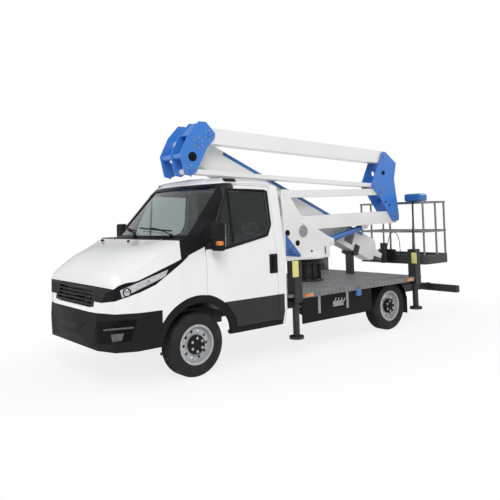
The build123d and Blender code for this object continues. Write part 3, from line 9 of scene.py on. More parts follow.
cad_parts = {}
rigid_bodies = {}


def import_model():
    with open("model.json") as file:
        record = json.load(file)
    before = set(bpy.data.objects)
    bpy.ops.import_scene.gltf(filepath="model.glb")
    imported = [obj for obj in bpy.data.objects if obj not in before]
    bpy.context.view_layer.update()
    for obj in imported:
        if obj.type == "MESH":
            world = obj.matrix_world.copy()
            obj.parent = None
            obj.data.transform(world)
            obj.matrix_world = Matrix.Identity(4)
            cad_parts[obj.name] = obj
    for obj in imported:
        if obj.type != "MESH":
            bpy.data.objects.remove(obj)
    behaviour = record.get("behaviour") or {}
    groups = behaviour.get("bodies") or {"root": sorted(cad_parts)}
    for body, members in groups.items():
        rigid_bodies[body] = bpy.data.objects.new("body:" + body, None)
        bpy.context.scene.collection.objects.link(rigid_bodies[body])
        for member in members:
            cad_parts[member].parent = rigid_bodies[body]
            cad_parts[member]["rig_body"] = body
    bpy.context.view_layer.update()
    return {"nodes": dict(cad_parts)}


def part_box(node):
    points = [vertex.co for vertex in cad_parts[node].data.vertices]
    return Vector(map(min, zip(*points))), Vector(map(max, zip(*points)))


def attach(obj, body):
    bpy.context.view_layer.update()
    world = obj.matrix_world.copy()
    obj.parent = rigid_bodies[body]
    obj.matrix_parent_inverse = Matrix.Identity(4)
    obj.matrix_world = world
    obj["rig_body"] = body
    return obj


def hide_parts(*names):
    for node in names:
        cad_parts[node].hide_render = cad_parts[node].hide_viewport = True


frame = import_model()
NODES = frame["nodes"]

FRONT_AXLE = sum(corner.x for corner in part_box("tyre_front_left")) / 2


def behind(metres):
    """X of a station that lies this far behind the front axle."""
    return FRONT_AXLE - metres


# Camera at the photograph's angle: place in metres, turns in degrees, focal length and level in pixels
CAMERA_PLACE = (behind(-3.564), 6.300, 1.734)
CAMERA_HEADING = -129.18
CAMERA_PITCH = 2.31
CAMERA_ROLL = -1.73
PICTURE = 500
CAMERA_FOCAL = 584.3
CAMERA_CENTRE = 191.9

# Stations behind the front axle, heights and half widths that the pieces share, in metres
BLACK_LINE = 0.775
CAB_HALF = 1.005
SCREEN_FOOT = -0.190
COWL_HEIGHT = 1.500
SCREEN_RUN = 0.590
SCREEN_RISE = 0.630
SCREEN_SWEEP = 0.230
SLEW = 2.530
BOOM_PIVOT = (0.565, 2.662)
BOOM_SLOPE = radians(23.4)
BOOM_NEAR = -0.0095
BOOM_FAR = -0.2255
KICK_TOP = 0.99
EASED_PINS = {"lower_arm": (-2.322, 0.1225, 1.640), "lower_tie": (0.184, 0.1225, 2.020)}
BONNET_SPAN = (2.396, 3.113)
BONNET_HALF = 0.955
BONNET_CROWN = 0.150
PILLAR_FOOT = (0.245, 1.372)
PILLAR_TOP = (0.620, 2.108)
WINDOW = ((0.215, 1.395), (0.495, 2.050), (1.100, 2.030), (1.100, 1.615), (1.030, 1.490), (0.400, 1.372))
PANEL_SMOOTH = 40.0
BONNET_CELL = 0.05
PIN_REACH = 0.029
PIN_SHARE = 0.96
SUNK = 0.4
PROUD = 0.6
WIPER_FOOT = 1.52
PAINT_EDGE = 0.002
SEAT_THREADS = 1800
PEDESTAL_SETBACK = 0.12
UP = Vector((0, 0, 1))
SIDES = (("left", 1), ("right", -1))
CORNERS = ("front_left", "front_right", "rear_left", "rear_right")


# Shader expressions

class Shade:
    """A socket of a material's node tree; arithmetic on it adds Math nodes."""

    def __init__(self, tree, socket=None):
        self.tree = tree
        self.socket = socket

    def make(self, kind, settings=None, out=0, **inputs):
        """Any other node: settings first, then its sockets' values or links (spaces as _, numbers as i0)."""
        node = self.tree.nodes.new("ShaderNode" + kind)
        for key, value in (settings or {}).items():
            setattr(node, key, value)
        for key, value in inputs.items():
            numbered = key[0] == "i" and key[1:].isdigit()
            target = node.inputs[int(key[1:]) if numbered else key.replace("_", " ")]
            if isinstance(value, Shade):
                self.tree.links.new(value.socket, target)
            else:
                target.default_value = value
        return Shade(self.tree, node.outputs[out])

    def math(self, operation, *values):
        return self.make("Math", {"operation": operation}, **{f"i{i}": v for i, v in enumerate(values)})

    def of(self, operation, *others):
        """A Math node's result for this value and any others."""
        return self.math(operation, self, *others)

    def __add__(self, other):
        return self.math("ADD", self, other)

    def __radd__(self, other):
        return self.math("ADD", other, self)

    def __sub__(self, other):
        return self.math("SUBTRACT", self, other)

    def __rsub__(self, other):
        return self.math("SUBTRACT", other, self)

    def __mul__(self, other):
        return self.math("MULTIPLY", self, other)

    def __rmul__(self, other):
        return self.math("MULTIPLY", other, self)

    def noise(self, scale, detail=3.0):
        return self.make("TexNoise", Vector=self, Scale=scale, Detail=detail)

    def axis(self, index):
        return self.make("SeparateXYZ", out=index, Vector=self)

    def step(self, low, high):
        """0 below low, 1 above high, smooth between."""
        settings = {"interpolation_type": "SMOOTHSTEP"}
        return self.make("MapRange", settings, Value=self, From_Min=low, From_Max=high)

    def mix(self, first, second):
        """Colours mixed by this value."""
        return self.make("Mix", {"data_type": "RGBA"}, out=2, i0=self, i6=first, i7=second)

    def bump(self, strength, distance):
        return self.make("Bump", Height=self, Strength=strength, Distance=distance)


def finish(name, **fixed):
    """A new material, its Object coordinates and a function that feeds its Principled node."""
    material = bpy.data.materials.new(name)
    material.use_nodes = True
    tree = material.node_tree
    principled = tree.nodes["Principled BSDF"]
    for key, value in fixed.items():
        principled.inputs[key.replace("_", " ")].default_value = value
    place = Shade(tree).make("TexCoord", out="Object")

    def feed(**sockets):
        for key, value in sockets.items():
            tree.links.new(value.socket, principled.inputs[key.replace("_", " ")])

    return material, place, feed


def paint(name, colour, roughness, coat, soil=0.06):
    """Sprayed paint: faint cloudy colour, orange peel, dust that gathers low down."""
    material, place, feed = finish(name, Coat_Weight=coat, Coat_Roughness=0.08)
    cloud = place.noise(2.3, 5.0)
    dust = (1 - place.axis(2).step(0.35, 1.0)) * place.noise(9.0, 6.0).step(0.45, 0.75)
    dull = tuple(c * 0.86 + 0.02 for c in colour)
    base = (cloud.step(0.35, 0.7) * soil * 4).mix((*colour, 1), (*dull, 1))
    feed(
        Base_Color=(dust * soil * 3).mix(base, (0.30, 0.27, 0.23, 1)),
        Roughness=roughness + cloud * 0.06 + dust * 0.2,
        Normal=place.noise(420.0, 2.0).bump(0.035, 0.001),
    )
    return material


def two_tone(name, colour, dark, line, specular=0.5, coat=0.7, framed=False):
    """Paint above a level line, grained plastic below it and, if framed, a black windscreen pillar."""
    material, place, feed = finish(name, Specular_IOR_Level=specular)
    upper = place.axis(2).step(line - PAINT_EDGE, line + PAINT_EDGE)
    if framed:
        foot, low = PILLAR_FOOT
        top, high = PILLAR_TOP
        pillar = place.axis(0) + (place.axis(2) - low) * ((top - foot) / (high - low)) - behind(foot)
        glazed = place.axis(2).step(low - PAINT_EDGE, low + PAINT_EDGE)
        upper = upper * (1 - pillar.step(-PAINT_EDGE, PAINT_EDGE) * glazed)
    cloud = place.noise(2.3, 5.0)
    grain = place.noise(900.0, 2.0)
    white = (cloud.step(0.35, 0.7) * 0.2).mix((*colour, 1), (*[c * 0.88 for c in colour], 1))
    feed(
        Base_Color=upper.mix((*dark, 1), white),
        Roughness=0.58 - upper * 0.34 + cloud * 0.05,
        Coat_Weight=upper * coat,
        Normal=(grain * (1 - upper)).bump(0.25, 0.0015),
    )
    return material


def kick_and_tubes(name, colour, dark, line):
    """Bare grey tube above a level line and dark painted sheet below it."""
    material, place, feed = finish(name)
    upper = place.axis(2).step(line - PAINT_EDGE, line + PAINT_EDGE)
    spangle = place.noise(18.0, 4.0)
    bare = spangle.step(0.3, 0.7).mix((*[c * 0.72 for c in colour], 1), (*colour, 1))
    feed(
        Base_Color=upper.mix((*dark, 1), bare),
        Roughness=0.42 + spangle * 0.16,
        Metallic=upper * 0.9,
        Normal=place.noise(500.0, 2.0).bump(0.06, 0.001),
    )
    return material


def plastic(name, colour, roughness, grain=0.25):
    """Moulded plastic with a fine grain and sun-bleached patches."""
    material, place, feed = finish(name, Specular_IOR_Level=0.09)
    fade = place.noise(3.5, 4.0).step(0.4, 0.75)
    pale = tuple(c * 1.35 + 0.003 for c in colour)
    feed(
        Base_Color=(fade * 0.6).mix((*colour, 1), (*pale, 1)),
        Roughness=roughness + fade * 0.1,
        Normal=place.noise(800.0, 2.0).bump(grain, 0.0015),
    )
    return material


def metal(name, colour, roughness, scale=30.0, streak=1.0):
    """Bare or zinc-coated metal with spangle and rolling streaks."""
    material, place, feed = finish(name, Metallic=1.0)
    drawn = place.make("Mapping", Vector=place, Scale=(1.0, streak, 1.0))
    spangle = drawn.noise(scale, 4.0)
    dark = tuple(c * 0.72 for c in colour)
    feed(
        Base_Color=spangle.step(0.3, 0.7).mix((*dark, 1), (*colour, 1)),
        Roughness=roughness + spangle * 0.18,
        Normal=place.noise(500.0, 2.0).bump(0.05, 0.001),
    )
    return material


def chequer(name, colour, pitch):
    """Aluminium tread plate: raised lozenges in alternate directions, worn bright on top."""
    material, place, feed = finish(name, Metallic=0.35)
    lozenges = None
    for turn, shift in ((45.0, 0.0), (-45.0, 0.5)):
        grid = place.make(
            "Mapping", Vector=place, Rotation=(0, 0, radians(turn)), Scale=(1 / pitch, 1 / pitch, 1),
            Location=(shift, shift, 0),
        )
        along = grid.axis(0).of("FRACT") - 0.5
        across = grid.axis(1).of("FRACT") - 0.5
        reach = along * along * 9.0 + across * across * 90.0
        shape = 1 - reach.step(0.55, 1.0)
        lozenges = shape if lozenges is None else lozenges.of("MAXIMUM", shape)
    dirt = place.noise(6.0, 5.0).step(0.4, 0.8)
    floor = (dirt * 0.5).mix((*[c * 0.5 for c in colour], 1), (0.05, 0.048, 0.045, 1))
    feed(
        Base_Color=lozenges.mix(floor, (*colour, 1)),
        Roughness=0.55 - lozenges * 0.2 + dirt * 0.1,
        Normal=lozenges.bump(0.9, 0.004),
    )
    return material


def glass(name, colour):
    """Tinted glass with a trace of dust."""
    material, place, feed = finish(name, Transmission_Weight=1.0, IOR=1.45)
    dust = place.noise(14.0, 5.0).step(0.5, 0.8)
    dull = tuple(c * 0.8 for c in colour)
    feed(Base_Color=(dust * 0.15).mix((*colour, 1), (*dull, 1)), Roughness=0.02 + dust * 0.04)
    return material


def lens(name, colour, ribs):
    """Coloured lamp lens with moulded ribs."""
    material, place, feed = finish(name, Coat_Weight=1.0, Coat_Roughness=0.03)
    rib = (place.axis(1) * ribs).of("SINE") * 0.5 + 0.5
    feed(
        Base_Color=(rib * 0.5).mix((*colour, 1), (*[c * 0.45 for c in colour], 1)),
        Roughness=0.16 + rib * 0.08,
        Normal=rib.bump(0.4, 0.002),
    )
    return material


def rubber(name, colour):
    """Tyre rubber: dusty, with fine moulding lines."""
    material, place, feed = finish(name, Specular_IOR_Level=0.25)
    dust = place.noise(7.0, 6.0).step(0.42, 0.8)
    feed(
        Base_Color=(dust * 0.35).mix((*colour, 1), (0.075, 0.07, 0.062, 1)),
        Roughness=0.72 + dust * 0.15,
        Normal=place.noise(350.0, 3.0).bump(0.2, 0.002),
    )
    return material


def woven(name, colour):
    """Seat cloth with a fine cross weave."""
    material, place, feed = finish(name, Sheen_Weight=0.4)
    warp = (place.axis(1) * SEAT_THREADS).of("SINE")
    weft = ((place.axis(0) + place.axis(2)) * SEAT_THREADS).of("SINE")
    weave = warp * weft * 0.5 + 0.5
    feed(
        Base_Color=(weave * 0.7).mix((*colour, 1), (*[c * 1.9 for c in colour], 1)),
        Roughness=0.85 + weave * 0.1,
        Normal=weave.bump(0.3, 0.001),
    )
    return material


WHITE = (0.82, 0.817, 0.805)
BLACK = (0.012, 0.0125, 0.013)
BLUE = (0.022, 0.135, 0.42)
white_paint = paint("cab_white", WHITE, 0.22, 0.8)
arm_white = paint("arm_white", (0.81, 0.806, 0.79), 0.34, 0.35, 0.09)
arm_blue = paint("arm_blue", BLUE, 0.32, 0.4, 0.08)
door_paint = two_tone("door_white_over_black", WHITE, BLACK, BLACK_LINE, framed=True)
grille_paint = two_tone("grille_black", (0.003, 0.003, 0.0035), WHITE, 0.832, 0.12, 0.0)
black_plastic = plastic("black_plastic", BLACK, 0.55)
gloss_black = plastic("gloss_black", (0.008, 0.008, 0.009), 0.16, 0.02)
frame_black = paint("frame_black", (0.010, 0.0105, 0.011), 0.42, 0.05, 0.03)
zinc = metal("zinc_grey", (0.42, 0.43, 0.44), 0.42)
steel = metal("bright_steel", (0.62, 0.63, 0.64), 0.22, 60.0, 8.0)
wheel_silver = paint("wheel_silver", (0.44, 0.45, 0.46), 0.34, 0.3, 0.12)
deck_plate = chequer("deck_chequer", (0.40, 0.405, 0.41), 0.055)
cab_glass = glass("cab_glass", (0.50, 0.55, 0.555))
mirror_face = metal("mirror_face", (0.86, 0.88, 0.90), 0.02, 3.0)
amber = lens("amber_lens", (0.75, 0.20, 0.01), 900)
red = lens("red_lens", (0.50, 0.015, 0.012), 700)
tyre_rubber = rubber("tyre_rubber", (0.016, 0.016, 0.017))
seat_cloth = woven("seat_cloth", (0.028, 0.030, 0.034))
hose_rubber = rubber("hose_rubber", (0.012, 0.012, 0.013))
pillar_black = plastic("pillar_black", (0.010, 0.010, 0.011), 0.30, 0.05)
lamp_silver = metal("lamp_silver", (0.70, 0.71, 0.73), 0.16, 40.0)
lamp_dome = metal("lamp_dome", (0.50, 0.53, 0.56), 0.08, 20.0)
lamp_dark = metal("lamp_dark", (0.16, 0.165, 0.17), 0.12, 20.0)
# Near black for skins over the bumper's hollows: painted shade.
recess_shade_black = plastic("recess_shade_black", (0.002, 0.002, 0.0022), 0.4, 0.05)
plate_yellow = paint("plate_yellow", (0.72, 0.66, 0.22), 0.4, 0.2)
cover_grey = plastic("cover_grey", (0.17, 0.17, 0.17), 0.5)
knuckle_blue = paint("knuckle_blue", (0.034, 0.185, 0.60), 0.32, 0.4, 0.08)
basket_finish = kick_and_tubes("basket_tubes", (0.30, 0.31, 0.32), (0.035, 0.036, 0.037), KICK_TOP)


# Modelling helpers

def deselect():
    """Leaves edit mode and selects nothing."""
    if bpy.context.object and bpy.context.object.mode != "OBJECT":
        bpy.ops.object.mode_set(mode="OBJECT")
    bpy.ops.object.select_all(action="DESELECT")


def only(obj):
    """Selects one piece and makes it active."""
    deselect()
    obj.select_set(True)
    bpy.context.view_layer.objects.active = obj


def apply_modifier(obj, kind, **settings):
    """Adds a modifier and applies it at once."""
    only(obj)
    modifier = obj.modifiers.new(kind.title(), kind)
    for key, value in settings.items():
        setattr(modifier, key, value)
    bpy.ops.object.modifier_apply(modifier=modifier.name)


def apply_place(obj):
    """Moves a piece's place, turn and scale into its mesh."""
    only(obj)
    bpy.ops.object.transform_apply(location=True, rotation=True, scale=True)


def place_piece(obj, name, body, material, smooth=35.0):
    """Applies the piece's place to its mesh, smooths it, gives it its finish and lets it ride."""
    apply_place(obj)
    bpy.ops.object.shade_smooth_by_angle(angle=radians(smooth))
    obj.name = name
    obj.data.materials.clear()
    obj.data.materials.append(material)
    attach(obj, body)
    return obj


def block(low, high, bevel, segments=3):
    """A box between two corners with rounded edges."""
    deselect()
    low, high = Vector(low), Vector(high)
    bpy.ops.mesh.primitive_cube_add(size=1.0, location=(low + high) / 2)
    obj = bpy.context.object
    obj.scale = high - low
    bpy.ops.object.transform_apply(location=False, rotation=False, scale=True)
    bpy.ops.object.mode_set(mode="EDIT")
    bpy.ops.mesh.select_all(action="SELECT")
    bpy.ops.mesh.bevel(offset=bevel, segments=segments, affect="EDGES", clamp_overlap=True)
    bpy.ops.object.mode_set(mode="OBJECT")
    return obj


def turned(start, end, radius, steps, bevel):
    """A round bar between two points, its rims rounded."""
    deselect()
    start, end = Vector(start), Vector(end)
    line = end - start
    middle = (start + end) / 2
    bpy.ops.mesh.primitive_cylinder_add(vertices=steps, radius=radius, depth=line.length, location=middle)
    obj = bpy.context.object
    obj.rotation_euler = line.to_track_quat("Z", "Y").to_euler()
    bpy.ops.object.mode_set(mode="EDIT")
    bpy.ops.mesh.select_all(action="DESELECT")
    mesh = bmesh.from_edit_mesh(obj.data)
    for edge in mesh.edges:
        edge.select_set(abs(edge.verts[0].co.z - edge.verts[1].co.z) < 1e-6)
    bmesh.update_edit_mesh(obj.data)
    bpy.ops.mesh.bevel(offset=bevel, segments=3, affect="EDGES", clamp_overlap=True)
    bpy.ops.object.mode_set(mode="OBJECT")
    apply_place(obj)
    return obj


def joined(objects):
    """Several pieces as one mesh."""
    deselect()
    for obj in objects:
        obj.select_set(True)
    bpy.context.view_layer.objects.active = objects[0]
    bpy.ops.object.join()
    return bpy.context.object


def copies(obj, matrices):
    """The piece at each place, as one mesh."""
    made = []
    for matrix in matrices:
        twin = obj.copy()
        twin.data = obj.data.copy()
        bpy.context.collection.objects.link(twin)
        twin.matrix_world = matrix
        made.append(twin)
    bpy.data.objects.remove(obj)
    whole = joined(made)
    apply_place(whole)
    return whole


def bolts(name, places, axis, size, body, material):
    """Hexagon heads on washers, pointing along an axis."""
    head = turned((0, 0, size * 0.25), (0, 0, size * 0.95), size, 6, size * 0.12)
    washer = turned((0, 0, 0), (0, 0, size * 0.25), size * 1.45, 20, size * 0.06)
    bolt = joined([head, washer])
    turn = Vector(axis).to_track_quat("Z", "Y").to_matrix().to_4x4()
    row = copies(bolt, [Matrix.Translation(place) @ turn for place in places])
    return place_piece(row, name, body, material)


def swept(name, points, radius, order=3):
    """A curve with a round section through chosen points."""
    deselect()
    curve = bpy.data.curves.new(name, "CURVE")
    curve.dimensions = "3D"
    curve.bevel_depth = radius
    curve.bevel_resolution = 4
    curve.use_fill_caps = True
    spline = curve.splines.new("NURBS")
    spline.points.add(len(points) - 1)
    for point, place in zip(spline.points, points):
        point.co = (*place, 1.0)
    spline.order_u = order
    spline.use_endpoint_u = True
    obj = bpy.data.objects.new(name, curve)
    bpy.context.collection.objects.link(obj)
    return obj


def rod_along(name, points, radius, body, material, order=3):
    """A bent bar through chosen points, as a smooth swept tube."""
    only(swept(name, points, radius, order))
    bpy.ops.object.convert(target="MESH")
    return place_piece(bpy.context.object, name, body, material)


def swell(obj, rise, cell):
    """Cut a panel's faces down to small cells and lift each point by a height that depends on its place."""
    bpy.ops.mesh.select_all(action="SELECT")
    bpy.ops.mesh.quads_convert_to_tris(quad_method="BEAUTY", ngon_method="BEAUTY")
    for _ in range(6):
        bpy.ops.mesh.select_all(action="DESELECT")
        mesh = bmesh.from_edit_mesh(obj.data)
        for item in mesh.edges:
            item.select_set(item.calc_length() > cell)
        bmesh.update_edit_mesh(obj.data)
        bpy.ops.mesh.subdivide(number_cuts=1)
    mesh = bmesh.from_edit_mesh(obj.data)
    for vertex in mesh.verts:
        vertex.co.z += rise(vertex.co)
    bmesh.update_edit_mesh(obj.data)


def ease_pin(obj, place, reach, share):
    """Turn a pin down a little about its level axis, so that it stays free in its eye."""
    only(obj)
    bpy.ops.object.mode_set(mode="EDIT")
    bpy.ops.mesh.select_all(action="DESELECT")
    mesh = bmesh.from_edit_mesh(obj.data)
    for vertex in mesh.verts:
        vertex.select_set((Vector(place) - vertex.co).xz.length < reach)
    mesh.select_flush_mode()
    bmesh.update_edit_mesh(obj.data)
    bpy.ops.transform.resize(value=(share, 1, share), center_override=place)
    bpy.ops.object.mode_set(mode="OBJECT")


def dressed(node, material, crease=0.0, edge=0.004, rise=None):
    """A panel in place of its plain solid: folds between its faces are rounded wide, cut edges narrowly."""
    source = NODES[node]
    obj = bpy.data.objects.new(node + "_panel", source.data.copy())
    bpy.context.collection.objects.link(obj)
    only(obj)
    bpy.ops.object.mode_set(mode="EDIT")
    bpy.ops.mesh.select_all(action="SELECT")
    bpy.ops.mesh.remove_doubles(threshold=0.00002)
    bpy.ops.mesh.dissolve_limited(angle_limit=radians(0.5))
    for low, high, width, segments in ((6.0, 62.0, crease, 5), (62.0, 180.0, edge, 2)):
        if not width:
            continue
        bpy.ops.mesh.select_all(action="DESELECT")
        mesh = bmesh.from_edit_mesh(obj.data)
        for item in mesh.edges:
            turn = item.calc_face_angle(0.0)
            item.select_set(radians(low) < turn <= radians(high))
        bmesh.update_edit_mesh(obj.data)
        bpy.ops.mesh.bevel(offset=width, segments=segments, affect="EDGES", clamp_overlap=True)
    if rise:
        swell(obj, rise, BONNET_CELL)
    bpy.ops.object.mode_set(mode="OBJECT")
    place_piece(obj, node + "_panel", source["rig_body"], material, PANEL_SMOOTH)
    apply_modifier(obj, "WEIGHTED_NORMAL", weight=100, keep_sharp=True)
    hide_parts(node)
    return obj


def keep(node, material):
    """A solid whose form is right keeps its mesh and gets a finish."""
    obj = NODES[node]
    obj.data.materials.clear()
    obj.data.materials.append(material)


# Places on the frame

def camera_axes():
    """Right, up and forward of the photograph's camera."""
    heading, pitch, roll = radians(CAMERA_HEADING), radians(CAMERA_PITCH), radians(CAMERA_ROLL)
    forward = Vector((cos(heading) * cos(pitch), sin(heading) * cos(pitch), sin(pitch)))
    side = forward.cross(UP).normalized()
    up = side.cross(forward)
    return side * cos(roll) + up * sin(roll), up * cos(roll) - side * sin(roll), forward


def surface(node):
    """A node's faces as a search tree."""
    mesh = NODES[node].data
    return BVHTree.FromPolygons([v.co for v in mesh.vertices], [p.vertices for p in mesh.polygons])


def struck(node, start, direction):
    """Where a ray meets a node's surface, or passes nearest to it, and the outward direction there."""
    tree = surface(node)
    start, direction = Vector(start), Vector(direction).normalized()
    point, normal, _, _ = tree.ray_cast(start, direction)
    if point is None:
        near = [tree.find_nearest(start + direction * 0.02 * step) for step in range(800)]
        point, normal, _, _ = min(near, key=lambda place: place[3])
    return point, normal if normal.dot(direction) < 0 else -normal


def pixel_ray(column, row):
    """The direction in which the camera sees a pixel of the photograph's square frame."""
    right, above, forward = camera_axes()
    across = (column - PICTURE / 2) / CAMERA_FOCAL
    return forward + right * across + above * ((CAMERA_CENTRE - row) / CAMERA_FOCAL)


def seen(node, column, row):
    """The place on a node that shows at a pixel of the photograph."""
    return struck(node, CAMERA_PLACE, pixel_ray(column, row))


def hole_shade_on(name, node, spot, plate, radius, thick, material):
    """A round disc at a pin's hole that shows at one pixel, seated on the upright plate that shows at
    another: painted shade in the hole.
    """
    face, normal = seen(node, *plate)
    ray = pixel_ray(*spot)
    start = Vector(CAMERA_PLACE)
    centre = start + ray * ((face.y - start.y) / ray.y)
    out = Vector((0, 1 if normal.y > 0 else -1, 0))
    rim = turned(centre - out * thick, centre + out * thick, radius, 40, thick * 0.4)
    place_piece(rim, name, node, material)


def mirrored(obj, name, body, material):
    """The same piece on the truck's other side."""
    twin = obj.copy()
    twin.data = obj.data.copy()
    bpy.context.collection.objects.link(twin)
    twin.data.transform(Matrix.Scale(-1, 4, (0, 1, 0)))
    twin.data.flip_normals()
    return place_piece(twin, name, body, material)


def settle(obj, name, body, material, twin):
    """Places a piece of the left side, and its mirror image where a body for that is named."""
    place_piece(obj, name, body, material)
    if twin:
        mirrored(obj, name + "_right", twin, material)
    return obj


def pad_on(name, node, spot, size, body, material, bevel=0.004, twin=None):
    """A raised block on a surface: its width, height and thickness, seated at a pixel."""
    point, normal = seen(node, *spot)
    level = (UP - normal * normal.z).normalized()
    across = level.cross(normal)
    width, height, thick = size
    obj = block((-width / 2, -height / 2, -thick * SUNK), (width / 2, height / 2, thick * PROUD), bevel)
    apply_place(obj)
    obj.matrix_world = Matrix.Translation(point) @ Matrix((across, level, normal)).transposed().to_4x4()
    return settle(obj, name, body, material, twin)


def disc_on(name, node, spot, radius, thick, body, material, twin=None):
    """A round boss on a surface, seated at a pixel."""
    point, normal = seen(node, *spot)
    rounding = min(thick, radius) * 0.25
    obj = turned(point - normal * thick * SUNK, point + normal * thick * PROUD, radius, 32, rounding)
    return settle(obj, name, body, material, twin)


def plate_on(name, node, spots, thick, body, material, twin=None):
    """A flat plate with its corners at pixels of one surface."""
    corners = []
    for spot in spots:
        point, normal = seen(node, *spot)
        corners.append(point - normal * thick * SUNK)
    deselect()
    bpy.ops.mesh.primitive_circle_add(vertices=len(corners), radius=0.1, fill_type="NGON")
    obj = bpy.context.object
    bpy.ops.object.mode_set(mode="EDIT")
    mesh = bmesh.from_edit_mesh(obj.data)
    mesh.verts.ensure_lookup_table()
    for vertex, corner in zip(mesh.verts, corners):
        vertex.co = corner
    bmesh.update_edit_mesh(obj.data)
    bpy.ops.mesh.select_all(action="SELECT")
    bpy.ops.mesh.extrude_region_move(TRANSFORM_OT_translate={"value": normal * thick})
    bpy.ops.mesh.select_all(action="SELECT")
    bpy.ops.mesh.normals_make_consistent(inside=False)
    bpy.ops.mesh.bevel(offset=thick * 0.3, segments=2, affect="EDGES", clamp_overlap=True)
    bpy.ops.object.mode_set(mode="OBJECT")
    return settle(obj, name, body, material, twin)


def skin_on(name, nodes, corners, body, material, lift=0.004, cells=(12, 6), twin=None):
    """A thin skin on several panels: its corners are pixels, and it follows the surfaces between them."""
    trees = [surface(node) for node in nodes]
    deselect()
    bpy.ops.mesh.primitive_grid_add(x_subdivisions=cells[0], y_subdivisions=cells[1], size=2.0)
    obj = bpy.context.object
    top_left, top_right, low_right, low_left = [Vector(corner) for corner in corners]
    bpy.ops.object.mode_set(mode="EDIT")
    mesh = bmesh.from_edit_mesh(obj.data)
    for vertex in mesh.verts:
        along, down = (vertex.co.x + 1) / 2, (1 - vertex.co.y) / 2
        spot = (top_left.lerp(top_right, along)).lerp(low_left.lerp(low_right, along), down)
        ray = pixel_ray(*spot).normalized()
        hits = [tree.ray_cast(Vector(CAMERA_PLACE), ray) for tree in trees]
        hits = [hit for hit in hits if hit[0] is not None]
        point, normal = min(hits, key=lambda hit: hit[3])[:2] if hits else struck(nodes[0], CAMERA_PLACE, ray)
        vertex.co = point + (normal if normal.dot(ray) < 0 else -normal) * lift
    bmesh.update_edit_mesh(obj.data)
    bpy.ops.mesh.select_all(action="SELECT")
    bpy.ops.mesh.normals_make_consistent(inside=False)
    mesh = bmesh.from_edit_mesh(obj.data)
    forward = camera_axes()[2]
    if sum(face.normal.dot(forward) for face in mesh.faces) > 0:
        bpy.ops.mesh.flip_normals()
    bpy.ops.object.mode_set(mode="OBJECT")
    apply_modifier(obj, "SOLIDIFY", thickness=2 * lift, offset=-0.6)
    return settle(obj, name, body, material, twin)


def hose(name, points, radius, body):
    """A flexible hose along given points, fixed to the object at both ends."""
    obj = swept(name, points, radius)
    obj.data.materials.append(hose_rubber)
    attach(obj, body)
    return obj


# Cab

def bonnet_crown(place):
    """The bonnet's swell above a flat sheet: nothing at its rim, most in the middle towards the nose."""
    low, high = BONNET_SPAN
    run = min(1.0, max(0.0, (high - place.x) / (high - low)))
    across = max(0.0, 1 - (place.y / BONNET_HALF) ** 4)
    return BONNET_CROWN * across * sin(pi * run ** 0.6) ** 1.3


def cab_panels():
    """The cab's painted panels, plastics and glass, and its linings; the black back lining is partly trim and
    partly painted shade inside the cab.
    """
    dressed("bonnet", white_paint, crease=0.03, rise=bonnet_crown)
    for panel in ("wings", "cab_roof", "cab_back"):
        dressed(panel, white_paint)
    dressed("cab_front", pillar_black)
    dressed("cab_sides", door_paint)
    for side in ("left", "right"):
        dressed(f"door_{side}", door_paint)
        keep(f"door_glass_{side}", cab_glass)
    dressed("bumper", black_plastic, crease=0.035, edge=0.012)
    dressed("cladding", black_plastic, crease=0.01, edge=0.012)
    dressed("grille", grille_paint, crease=0.02)
    dressed("headlamps", gloss_black, crease=0.02, edge=0.006)
    keep("windscreen", cab_glass)
    keep("dashboard", black_plastic)
    keep("cab_floor", frame_black)
    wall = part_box("cab_back")[1].x
    # The back lining is black, darker than the cab's grey trim: partly lining, partly painted shade inside
    # the cab.
    lining = block((wall + 0.002, -0.80, 0.80), (wall + 0.020, 0.80, 2.06), 0.006)
    place_piece(lining, "back_lining_shade", "chassis", black_plastic)
    lining = block((wall + 0.022, -0.72, 2.104), (wall + 0.560, 0.72, 2.122), 0.006)
    place_piece(lining, "roof_lining", "chassis", cover_grey)


def head_lamps():
    """Bright reflectors and a projector in each dark lamp cover, fog lamps in recesses of the bumper, and
    painted shade in those recesses and in the bumper's intake.
    """
    front = ("headlamps", "wings")
    reflector = ((120, 290.5), (168, 269.5), (165, 276.5), (122, 298))
    skin_on("lamp_reflector", front, reflector, "chassis", lamp_silver, 0.003, (16, 4), "chassis")
    for name, spot, radius, thick, material in (
        ("lamp_projector", (127, 292.5), 0.044, 0.03, gloss_black),
        ("lamp_projector_lens", (127, 292.5), 0.034, 0.044, lamp_dome),
        ("lamp_inner_cup", (148, 282.5), 0.024, 0.024, lamp_dome),
    ):
        disc_on(name, "headlamps", spot, radius, thick, "chassis", material, "chassis")
    for name, corners, material, lift in (
        # Near-black skin over each fog recess: painted shade in the hollow.
        ("fog_recess", ((97, 322.5), (137, 319.5), (131, 341), (91, 345)), recess_shade_black, 0.003),
        ("fog_step", ((104, 329.3), (134, 326.6), (133.6, 328.2), (104, 331)), lamp_dark, 0.006),
        ("fog_lens", ((111.5, 334.5), (124, 333.2), (122, 340.5), (113, 342)), lamp_dark, 0.006),
    ):
        skin_on(name, ("bumper",), corners, "chassis", material, lift, (16, 6), "chassis")
    # Near-black skin over the intake: painted shade in the opening.
    intake = ((60, 319), (84, 323.5), (78, 329), (64, 325.5))
    skin_on("bumper_intake", ("bumper",), intake, "chassis", recess_shade_black, 0.003, (10, 4))


def screen_point(y, height, proud):
    """A place just off the bowed windscreen."""
    lean = (height - COWL_HEIGHT) * SCREEN_RUN / SCREEN_RISE
    station = SCREEN_FOOT + SCREEN_SWEEP * (y / CAB_HALF) ** 2 + lean
    slope = Vector((SCREEN_RISE, 0, SCREEN_RUN)).normalized()
    return Vector((behind(station), y, height)) + slope * proud


